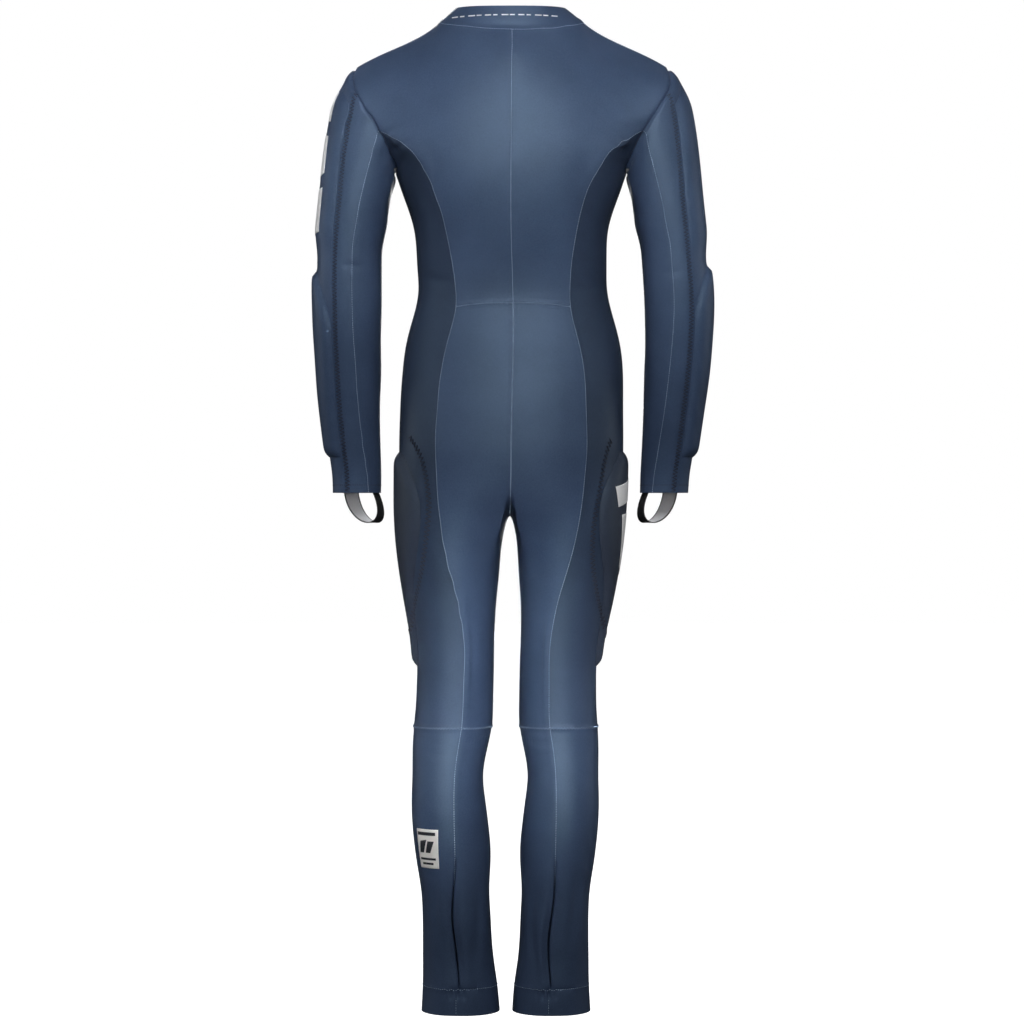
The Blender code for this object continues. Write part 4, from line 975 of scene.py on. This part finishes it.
flat_seams = {"left": [], "right": [], "middle": []}
armhole_seams = []
strip_edges = []
knee_seams = []
seat_seam = []
for (first, second), pairs in seam_edges.items():
    names = (PIECE_NAMES[first], PIECE_NAMES[second])
    runs = [run for run in runs_of(pairs) if len(run) > 2]
    if all(name.startswith("calf") for name in names):
        sewn = [[i for i in run if skin_points[i][1] > 0 or skin_points[i][2] > -1.165] for run in runs]
        runs = [run for run in sewn if len(run) > 2]
    kinds = {name.rpartition("_")[0] or name for name in names}
    sleeve_parts = sum(name.startswith("sleeve") for name in names)
    if any("zip_tape" in name for name in names) or any("hem_band" in name for name in names):
        continue
    if sleeve_parts == 1:
        armhole_seams += [seam_line(run) for run in runs]
    elif "sleeve_outer" in kinds:
        strip_edges += [beside_strip(run) for run in runs]
    elif sum(name.startswith("calf") for name in names) == 1:
        knee_seams += [seam_line(run, 0.0003) for run in runs]
    elif kinds == {"seat"}:
        seat_seam += [seam_line(run, 0.0003) for run in runs]
    else:
        ends = {name.rpartition("_")[2] for name in names}
        where = ends.pop() if len(ends) == 1 else "middle"
        flat_seams[where if where in flat_seams else "middle"] += [seam_line(run, 0.0002) for run in runs]
for where, lines in flat_seams.items():
    if lines:
        sew_line(f"seam_thread_{where}", lines, PALE_THREAD)
sew_line("armhole_thread", armhole_seams, DARK_THREAD)
sew_zigzag("sleeve_pad_zigzag", strip_edges, DARK_THREAD)
sew_zigzag("knee_seam_thread", knee_seams, WORN_THREAD, 0.0016, 0.0006, 0.0021)
sew_zigzag("seat_seam_thread", seat_seam, PALE_THREAD, 0.0009, 0.0008, 0.0017)

# The hip pads' zigzags, each down the back and the front of the thigh just outside the foam's edge
HIP_ZIGZAG = {
    "left": (
        (-0.1400, -0.5418), (-0.1225, -0.5740), (-0.1128, -0.6258), (-0.1150, -0.6720),
        (-0.1220, -0.7238), (-0.1290, -0.7560), (-0.1390, -0.8050), (-0.1460, -0.8400),
    ),
    "right": (
        (0.1378, -0.5460), (0.1290, -0.5740), (0.1220, -0.6160), (0.1126, -0.6720),
        (0.1126, -0.7238), (0.1196, -0.7658), (0.1308, -0.8120), (0.1400, -0.8450),
    ),
}
for side, stops in HIP_ZIGZAG.items():
    lines = []
    for view in ("back", "front"):
        curve = curve_through([(x, 0, z) for x, z in stops], 0.003)
        places, normals = line_of([onto(dressed_tree, view, x, z) for x, _, z in curve])
        lines.append((eased(places, 4) + normals * 0.0006, normals))
    sew_zigzag(f"hip_pad_zigzag_{side}", lines, DARK_THREAD, 0.0044, 0.0012, 0.0031)

# Hems and cuffs: each is turned in and held by a line of stitches.
HEM_WAVE_PITCH = 0.0095
hem_lines = []
for side in ("left", "right"):
    for piece in ("calf_inner", "calf_outer"):
        for run in seam_between(f"{piece}_{side}", f"hem_band_{side}"):
            places = eased(skin_points[run]) + skin_normals[run] * 0.0004
            from_seam = places[:, 0] - HEM_SEAM_X[side]
            wave = np.where(places[:, 1] < 0, bell(from_seam, 0.022), 0)
            places[:, 2] += 0.0010 * wave * np.sin(2 * np.pi * from_seam / HEM_WAVE_PITCH) - 0.0012 * wave
            hem_lines.append((places, skin_normals[run]))
for x in (-0.0760, 0.0520):
    rays = [onto(dressed_tree, "back", x, z) for z in np.linspace(-1.320, -1.348, 8)]
    hem_lines.append(line_of(rays, 0.0003))
sew_line("hem_stitches", hem_lines, PALE_THREAD)


CUFF_MIDDLE = (0.2165, 0.030)
CUFF_EDGE = -0.620
CUFF_STITCHES = CUFF_EDGE + 0.011
cuff_rings = []
for side in ("left", "right"):
    rays = [around(side, CUFF_MIDDLE, azimuth, CUFF_STITCHES, 0.045) for azimuth in range(0, 362, 6)]
    cuff_rings.append(line_of(rays, 0.0001))
sew_line("cuff_stitches", cuff_rings, DARK_THREAD)

# Front zip: coil-width moulded teeth on two tapes, closed from the collar's top to below the waist, with
# a stop at its foot.
TOOTH_PITCH = 0.0021
TOOTH_SIZE = (0.0013, 0.0031, 0.0017)
bpy.ops.mesh.primitive_cube_add(size=1)
tooth = bpy.context.object
bevel = tooth.modifiers.new("soft_edges", "BEVEL")
bevel.width = 0.16
bevel.segments = 1
bpy.ops.object.modifier_apply(modifier=bevel.name)
tooth_points = np.array([tuple(vert.co) for vert in tooth.data.vertices])
tooth_faces = [tuple(face.vertices) for face in tooth.data.polygons]
bpy.data.objects.remove(tooth)

METAL, tree, shader, place = new_material("gunmetal_zip", 0.34)
shader["Metallic"].default_value = 0.85
gunmetal = ((0.0, (0.075, 0.080, 0.090)), (1.0, (0.15, 0.155, 0.165)))
tree.links.new(add_ramp(tree, add_noise(tree, place, 240, 3), gunmetal), shader["Base Color"])

zip_run = max(seam_between("zip_tape_left", "zip_tape_right"), key=len)
if skin_points[zip_run[0]][2] < skin_points[zip_run[-1]][2]:
    zip_run = zip_run[::-1]
zip_places = eased(skin_points[zip_run], 6)
zip_normals = skin_normals[zip_run]
for side, sign, shift in (("left", -1, 0.0), ("right", 1, 0.5)):
    spots, ahead, outs = evenly(zip_places, zip_normals, TOOTH_PITCH)
    ahead /= np.linalg.norm(ahead, axis=1, keepdims=True)
    spots = spots + ahead * shift * TOOTH_PITCH + np.array([sign * 0.0010, 0, 0]) + outs * 0.0004
    spots, ahead, outs = spots[:-2], ahead[:-2], outs[:-2]
    teeth = many_of(f"zip_teeth_{side}", tooth_points, tooth_faces, spots, ahead, outs, TOOTH_SIZE, METAL)
    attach(teeth, "suit")
tape_lines = []
for side in ("left", "right"):
    for run in seam_between(f"front_{side}", f"zip_tape_{side}"):
        sign = -1 if side == "left" else 1
        places = eased(skin_points[run], 6) + np.array([sign * 0.0022, 0, 0]) + skin_normals[run] * 0.0003
        tape_lines.append((places, skin_normals[run]))
sew_line("zip_topstitch", tape_lines, PALE_THREAD)

# Zip slider: a cast body with a waist and two lugs, at the collar's top, where the zip is closed.
ZIP_DOWN = Vector((0, 0.2631, -0.9648))
ZIP_OUT = Vector((0, 0.9648, 0.2631))
SLIDER_MIDDLE = Vector((0.00176, 0.06368, -0.00351))
zip_place = Matrix((Vector((1, 0, 0)), ZIP_DOWN, ZIP_OUT)).transposed().to_4x4()
zip_place.translation = SLIDER_MIDDLE
TAB_PIN = 0.0049  # how far the pin's middle is out from the zip


def zip_block(name, size, centre, bevel_width, segments=2):
    """A block with softened edges, in the zip's own frame: across, down and out."""
    bpy.ops.mesh.primitive_cube_add(size=1)
    made = bpy.context.object
    made.name = name
    made.data.transform(Matrix.Translation(centre) @ Matrix.Diagonal((*size, 1)))
    edges = made.modifiers.new("soft_edges", "BEVEL")
    edges.width = bevel_width
    edges.segments = segments
    bpy.ops.object.modifier_apply(modifier=edges.name)
    return made


def joined(name, parts, place):
    """Several blocks as one metal piece, in its place."""
    bpy.ops.object.select_all(action="DESELECT")
    for part in parts:
        part.select_set(True)
    bpy.context.view_layer.objects.active = parts[0]
    bpy.ops.object.join()
    made = bpy.context.object
    made.name = name
    made.data.transform(place)
    made.data.materials.clear()
    made.data.materials.append(METAL)
    bpy.ops.object.shade_smooth_by_angle(angle=math.radians(35))
    bpy.ops.object.select_all(action="DESELECT")
    return made


body = zip_block("slider_body", (0.0086, 0.0110, 0.0024), (0, 0, 0.0018), 0.0007)
bpy.ops.object.mode_set(mode="EDIT")
bpy.ops.mesh.select_all(action="SELECT")
bpy.ops.mesh.bisect(plane_co=(0, 0.0012, 0), plane_no=(0, 1, 0))
bpy.ops.transform.resize(value=(0.80, 1, 1), center_override=(0, 0, 0))
bpy.ops.object.mode_set(mode="OBJECT")
lugs = [zip_block("lug", (0.0014, 0.0040, 0.0040), (sign * 0.0030, 0, 0.0046), 0.0005) for sign in (-1, 1)]
bpy.ops.mesh.primitive_cylinder_add(vertices=20, radius=0.0006, depth=0.0068, location=(0, 0, TAB_PIN))
pin = bpy.context.object
pin.rotation_euler = (0, math.radians(90), 0)
bpy.ops.object.transform_apply(location=True, rotation=True, scale=True)
slider = joined("zip_slider_body", [body, *lugs, pin], zip_place)
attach(slider, "suit")
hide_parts("zip_slider")

stop = zip_block("stop", (0.0064, 0.0034, 0.0019), (0, 0, 0), 0.0006)
foot_place = Matrix((Vector((1, 0, 0)), Vector((0, 0, -1)), Vector((0, 1, 0)))).transposed().to_4x4()
foot_place.translation = Vector(zip_places[-1]) + Vector(zip_normals[-1]) * 0.0006 + Vector((0, 0, 0.002))
bottom_stop = joined("zip_bottom_stop", [stop], foot_place)
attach(bottom_stop, "suit")

# Pull tab: a flat cast tab that hangs from the slider's pin, wider at its end, with a sunk face.
eye_place = zip_place @ Matrix.Translation((0, 0, TAB_PIN)) @ Matrix.Rotation(math.radians(-6), 4, "X")
bpy.ops.mesh.primitive_torus_add(
    major_segments=24, minor_segments=10, major_radius=0.00118, minor_radius=0.00042
)
eye = bpy.context.object
eye.data.transform(Matrix.Rotation(math.radians(90), 4, "Y") @ Matrix.Diagonal((1, 1, 4.2, 1)))
shank = zip_block("shank", (0.0038, 0.0130, 0.0013), (0, 0.0078, 0), 0.0004)
blade = zip_block("blade", (0.0072, 0.0154, 0.0013), (0, 0.0183, 0), 0.0004)
bpy.ops.object.mode_set(mode="EDIT")
bpy.ops.mesh.select_all(action="DESELECT")
bpy.ops.object.mode_set(mode="OBJECT")
widest = sorted(blade.data.polygons, key=lambda face: face.area)[-2:]
for face in widest:
    face.select = True
bpy.ops.object.mode_set(mode="EDIT")
bpy.ops.mesh.select_mode(type="FACE")
bpy.ops.mesh.inset(thickness=0.0011, use_individual=True)
bpy.ops.mesh.inset(thickness=0.0003, depth=-0.00028, use_individual=True)
bpy.ops.object.mode_set(mode="OBJECT")
tab = joined("pull_tab_cast", [eye, shank, blade], eye_place)
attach(tab, "zip_pull")
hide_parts("pull_tab")

# Hand loops: elastic tape sewn inside each cuff, grey on the face towards the hand with dark edges; the
# other face is painted black, as painted shade for the face turned from the light.
LOOP_HALF_WIDTH = 0.0120
LOOP_HALF_THICKNESS = 0.0006
LOOP_COLUMNS = 12


def cuff_inside(azimuth, rise):
    """A point inside the right cuff: its azimuth from straight behind, and its rise over the cuff's edge."""
    turn = math.radians(azimuth)
    wide, deep = (math.copysign(abs(part) ** (2 / 2.1), part) for part in (math.sin(turn), math.cos(turn)))
    return Vector((CUFF_MIDDLE[0] + 0.0303 * wide, CUFF_MIDDLE[1] - 0.0288 * deep, CUFF_EDGE + rise))


def tape_material():
    """Woven elastic: its tone goes by the tape_across attribute, from the grey middle to the back, which is
    painted black as painted shade.
    """
    material, tree, shader, place = new_material("elastic_loop_tape", 0.75)
    across = add_node(tree, "ShaderNodeAttribute")
    across.attribute_name = "tape_across"
    stops = [(0.0, (0.74, 0.74, 0.76))]
    dark_edges = ((0.78, 0.72), (0.86, 0.09), (0.97, 0.06))
    stops += [(position, (grey, grey, grey * 1.03)) for position, grey in dark_edges]
    # painted shade: the near-black end of the ramp, for the tape's back face
    stops += [(1.0, (0.012, 0.012, 0.014))]
    tree.links.new(add_ramp(tree, across.outputs["Fac"], stops), shader["Base Color"])
    squeezed = add_node(tree, "ShaderNodeMapping", {"Vector": place, "Scale": (1, 1, 2.2)}).outputs["Vector"]
    tree.links.new(add_bump(tree, add_noise(tree, squeezed, 900), 0.6, 0.0004), shader["Normal"])
    return material


LOOP_TAPE = tape_material()
for side, sign in (("left", -1), ("right", 1)):
    half_turn = math.degrees(LOOP_HALF_WIDTH / 0.034)
    edges_of_tape = []
    for k in (-1, 1):
        head, tail = 161 + k * half_turn, -70 - k * half_turn
        start, end = cuff_inside(head, 0), cuff_inside(tail, 0)
        leave = Vector((-0.022, 0, -0.160))
        join = Vector((0.075, 0, 0.172))
        line = [cuff_inside(head, rise) for rise in (0.014, 0.007, 0.003)]
        for i in range(49):
            t = i / 48
            line.append(
                start * (2 * t**3 - 3 * t**2 + 1)
                + leave * (t**3 - 2 * t**2 + t)
                + end * (3 * t**2 - 2 * t**3)
                + join * (t**3 - t**2)
            )
        line += [cuff_inside(tail, rise) for rise in (0.003, 0.007, 0.014)]
        edges_of_tape.append(np.array([tuple(point) for point in line]))
    low, high = edges_of_tape
    share = np.linspace(0, 1, LOOP_COLUMNS + 1)[None, :, None]
    grid = low[:, None] * (1 - share) + high[:, None] * share
    along = np.gradient(grid, axis=0)
    across = np.gradient(grid, axis=1)
    normal = np.cross(along, across)
    normal /= np.linalg.norm(normal, axis=2, keepdims=True)
    share = np.abs(np.linspace(-1, 1, LOOP_COLUMNS + 1))
    swell = np.where(share > 0.78, 1.25, 1.0) * LOOP_HALF_THICKNESS
    faces_out = [grid + normal * swell[None, :, None], grid - normal * swell[None, :, None]]
    middle = grid.mean(axis=(0, 1))
    outward = np.sum((grid - middle) * normal)
    place = np.concatenate([face.reshape(-1, 3) for face in faces_out])
    place[:, 0] = sign * place[:, 0] - 0.0005
    count = grid.shape[0] * grid.shape[1]
    width = LOOP_COLUMNS + 1
    quads = []
    last = grid.shape[0] - 1
    for i in range(last):
        for j in range(LOOP_COLUMNS):
            a = i * width + j
            quad = (a, a + width, a + width + 1, a + 1)
            quads.append(quad)
            quads.append(tuple(count + k for k in reversed(quad)))
    for i in range(last):
        a, b = i * width, i * width + LOOP_COLUMNS
        quads.append((a, a + count, a + width + count, a + width))
        quads.append((b, b + width, b + width + count, b + count))
    for j in range(LOOP_COLUMNS):
        a, b = j, last * width + j
        quads.append((a, a + 1, a + 1 + count, a + count))
        quads.append((b, b + count, b + 1 + count, b + 1))
    if sign < 0:
        quads = [tuple(reversed(quad)) for quad in quads]
    loop = finished_mesh(f"hand_loop_{side}_tape", place, quads, LOOP_TAPE)
    tone = np.tile(share * 0.96, grid.shape[0])
    # painted shade: the tape's back face takes the black end of the ramp
    black = np.ones(count)
    values = np.concatenate([tone, black] if outward <= 0 else [black, tone])
    kept = loop.data.attributes.new("tape_across", "FLOAT", "POINT")
    kept.data.foreach_set("value", values)
    outward_faces = bmesh.new()
    outward_faces.from_mesh(loop.data)
    bmesh.ops.recalc_face_normals(outward_faces, faces=outward_faces.faces)
    outward_faces.to_mesh(loop.data)
    outward_faces.free()
    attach(loop, "suit")
    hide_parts(f"hand_loop_{side}")

# Patch and marks: a plain woven patch on the left calf with a few dark bars, and thin pale heat-transfer
# shapes on the left arm, the right hip and the collar. All of them are generic.
WHITE = thread_material("white_transfer", (0.95, 0.955, 0.96), 0.96)
PATCH_CLOTH = thread_material("pale_patch_cloth", (0.94, 0.92, 0.88), 0.93)
INK = thread_material("dark_patch_ink", (0.020, 0.022, 0.030))


def laid_shape(name, side, middle, corners, lift, thickness, material, steps):
    """A flat shape laid on the suit. Corners are azimuth and height: two above, then two below."""
    (a0, h0), (a1, h1), (a2, h2), (a3, h3) = corners
    across, down = steps
    places = []
    for j in range(down + 1):
        v = j / down
        for i in range(across + 1):
            u = i / across
            azimuth = (a0 * (1 - u) + a1 * u) * (1 - v) + (a2 * (1 - u) + a3 * u) * v
            height = (h0 * (1 - u) + h1 * u) * (1 - v) + (h2 * (1 - u) + h3 * u) * v
            place, normal = around(side, middle, azimuth, height)
            places.append(place + normal * lift)
    width = across + 1
    faces = [
        (j * width + i, (j + 1) * width + i, (j + 1) * width + i + 1, j * width + i + 1)
        for j in range(down)
        for i in range(across)
    ]
    # The suit's normal is nearly the same all over so small a shape, so the last one says which way is out
    first, second, third = (places[i] for i in faces[len(faces) // 2][:3])
    if (second - first).cross(third - second).dot(normal) < 0:
        faces = [tuple(reversed(face)) for face in faces]
    made = finished_mesh(name, places, faces, material)
    body = made.modifiers.new("film_thickness", "SOLIDIFY")
    body.thickness = thickness
    body.offset = -1
    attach(made, "suit")
    return made


CALF = (0.080, -0.014)
PATCH_CORNERS = ((58, -1.0845), (20, -1.0845), (55, -1.1385), (20, -1.1385))
patch = laid_shape("calf_patch_cloth", "left", CALF, PATCH_CORNERS, 0.0010, 0.0008, PATCH_CLOTH, (16, 20))
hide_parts("calf_patch")
PATCH_BARS = (
    ((55, -1.0885), (24, -1.0885), (55, -1.0930), (24, -1.0930)),
    ((50, -1.1010), (38, -1.0990), (52, -1.1170), (44, -1.1170)),
    ((36, -1.1010), (26, -1.1010), (40, -1.1170), (32, -1.1170)),
    ((52, -1.1240), (24, -1.1240), (52, -1.1270), (24, -1.1270)),
    ((48, -1.1305), (28, -1.1305), (48, -1.1335), (28, -1.1335)),
)
for number, corners in enumerate(PATCH_BARS):
    laid_shape(f"patch_bar_{number}", "left", CALF, corners, 0.0012, 0.0003, INK, (6, 3))

SLEEVE = (0.2213, -0.008)
THIGH = (0.078, -0.008)
MARKS = (  # name, side, the middle that it is laid round, its corners, its steps
    ("arm_mark_0", "left", SLEEVE, ((112, -0.058), (60, -0.062), (112, -0.098), (57, -0.104)), (20, 40)),
    ("arm_mark_1", "left", SLEEVE, ((112, -0.118), (56, -0.124), (112, -0.186), (55, -0.176)), (20, 40)),
    ("arm_mark_2", "left", SLEEVE, ((112, -0.202), (56, -0.196), (112, -0.262), (57, -0.258)), (20, 40)),
    ("hip_mark_0", "right", THIGH, ((46, -0.612), (104, -0.596), (52, -0.640), (104, -0.626)), (24, 24)),
    ("hip_mark_1", "right", THIGH, ((62, -0.650), (88, -0.648), (74, -0.722), (96, -0.734)), (24, 24)),
)
for name, side, middle, corners, steps in MARKS:
    laid_shape(name, side, middle, corners, 0.0006, 0.0004, WHITE, steps)
DASH_PITCH = 0.0115
DASH_WIDTHS = (0.0085, 0.0060, 0.0095, 0.0070)
for number in range(13):
    left = -0.082 + number * DASH_PITCH
    width = DASH_WIDTHS[number % 4]
    places = []
    for height in (0.0405, 0.0388):
        for i in range(4):
            place, normal = onto(dressed_tree, "back", left + width * i / 3, height)
            places.append(place + normal * 0.0003)
    quads = [(i, i + 4, i + 5, i + 1) for i in range(3)]
    dash = finished_mesh(f"collar_dash_{number:02d}", places, quads, WHITE)
    film = dash.modifiers.new("film_thickness", "SOLIDIFY")
    film.thickness = 0.0002
    film.offset = -1
    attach(dash, "suit")
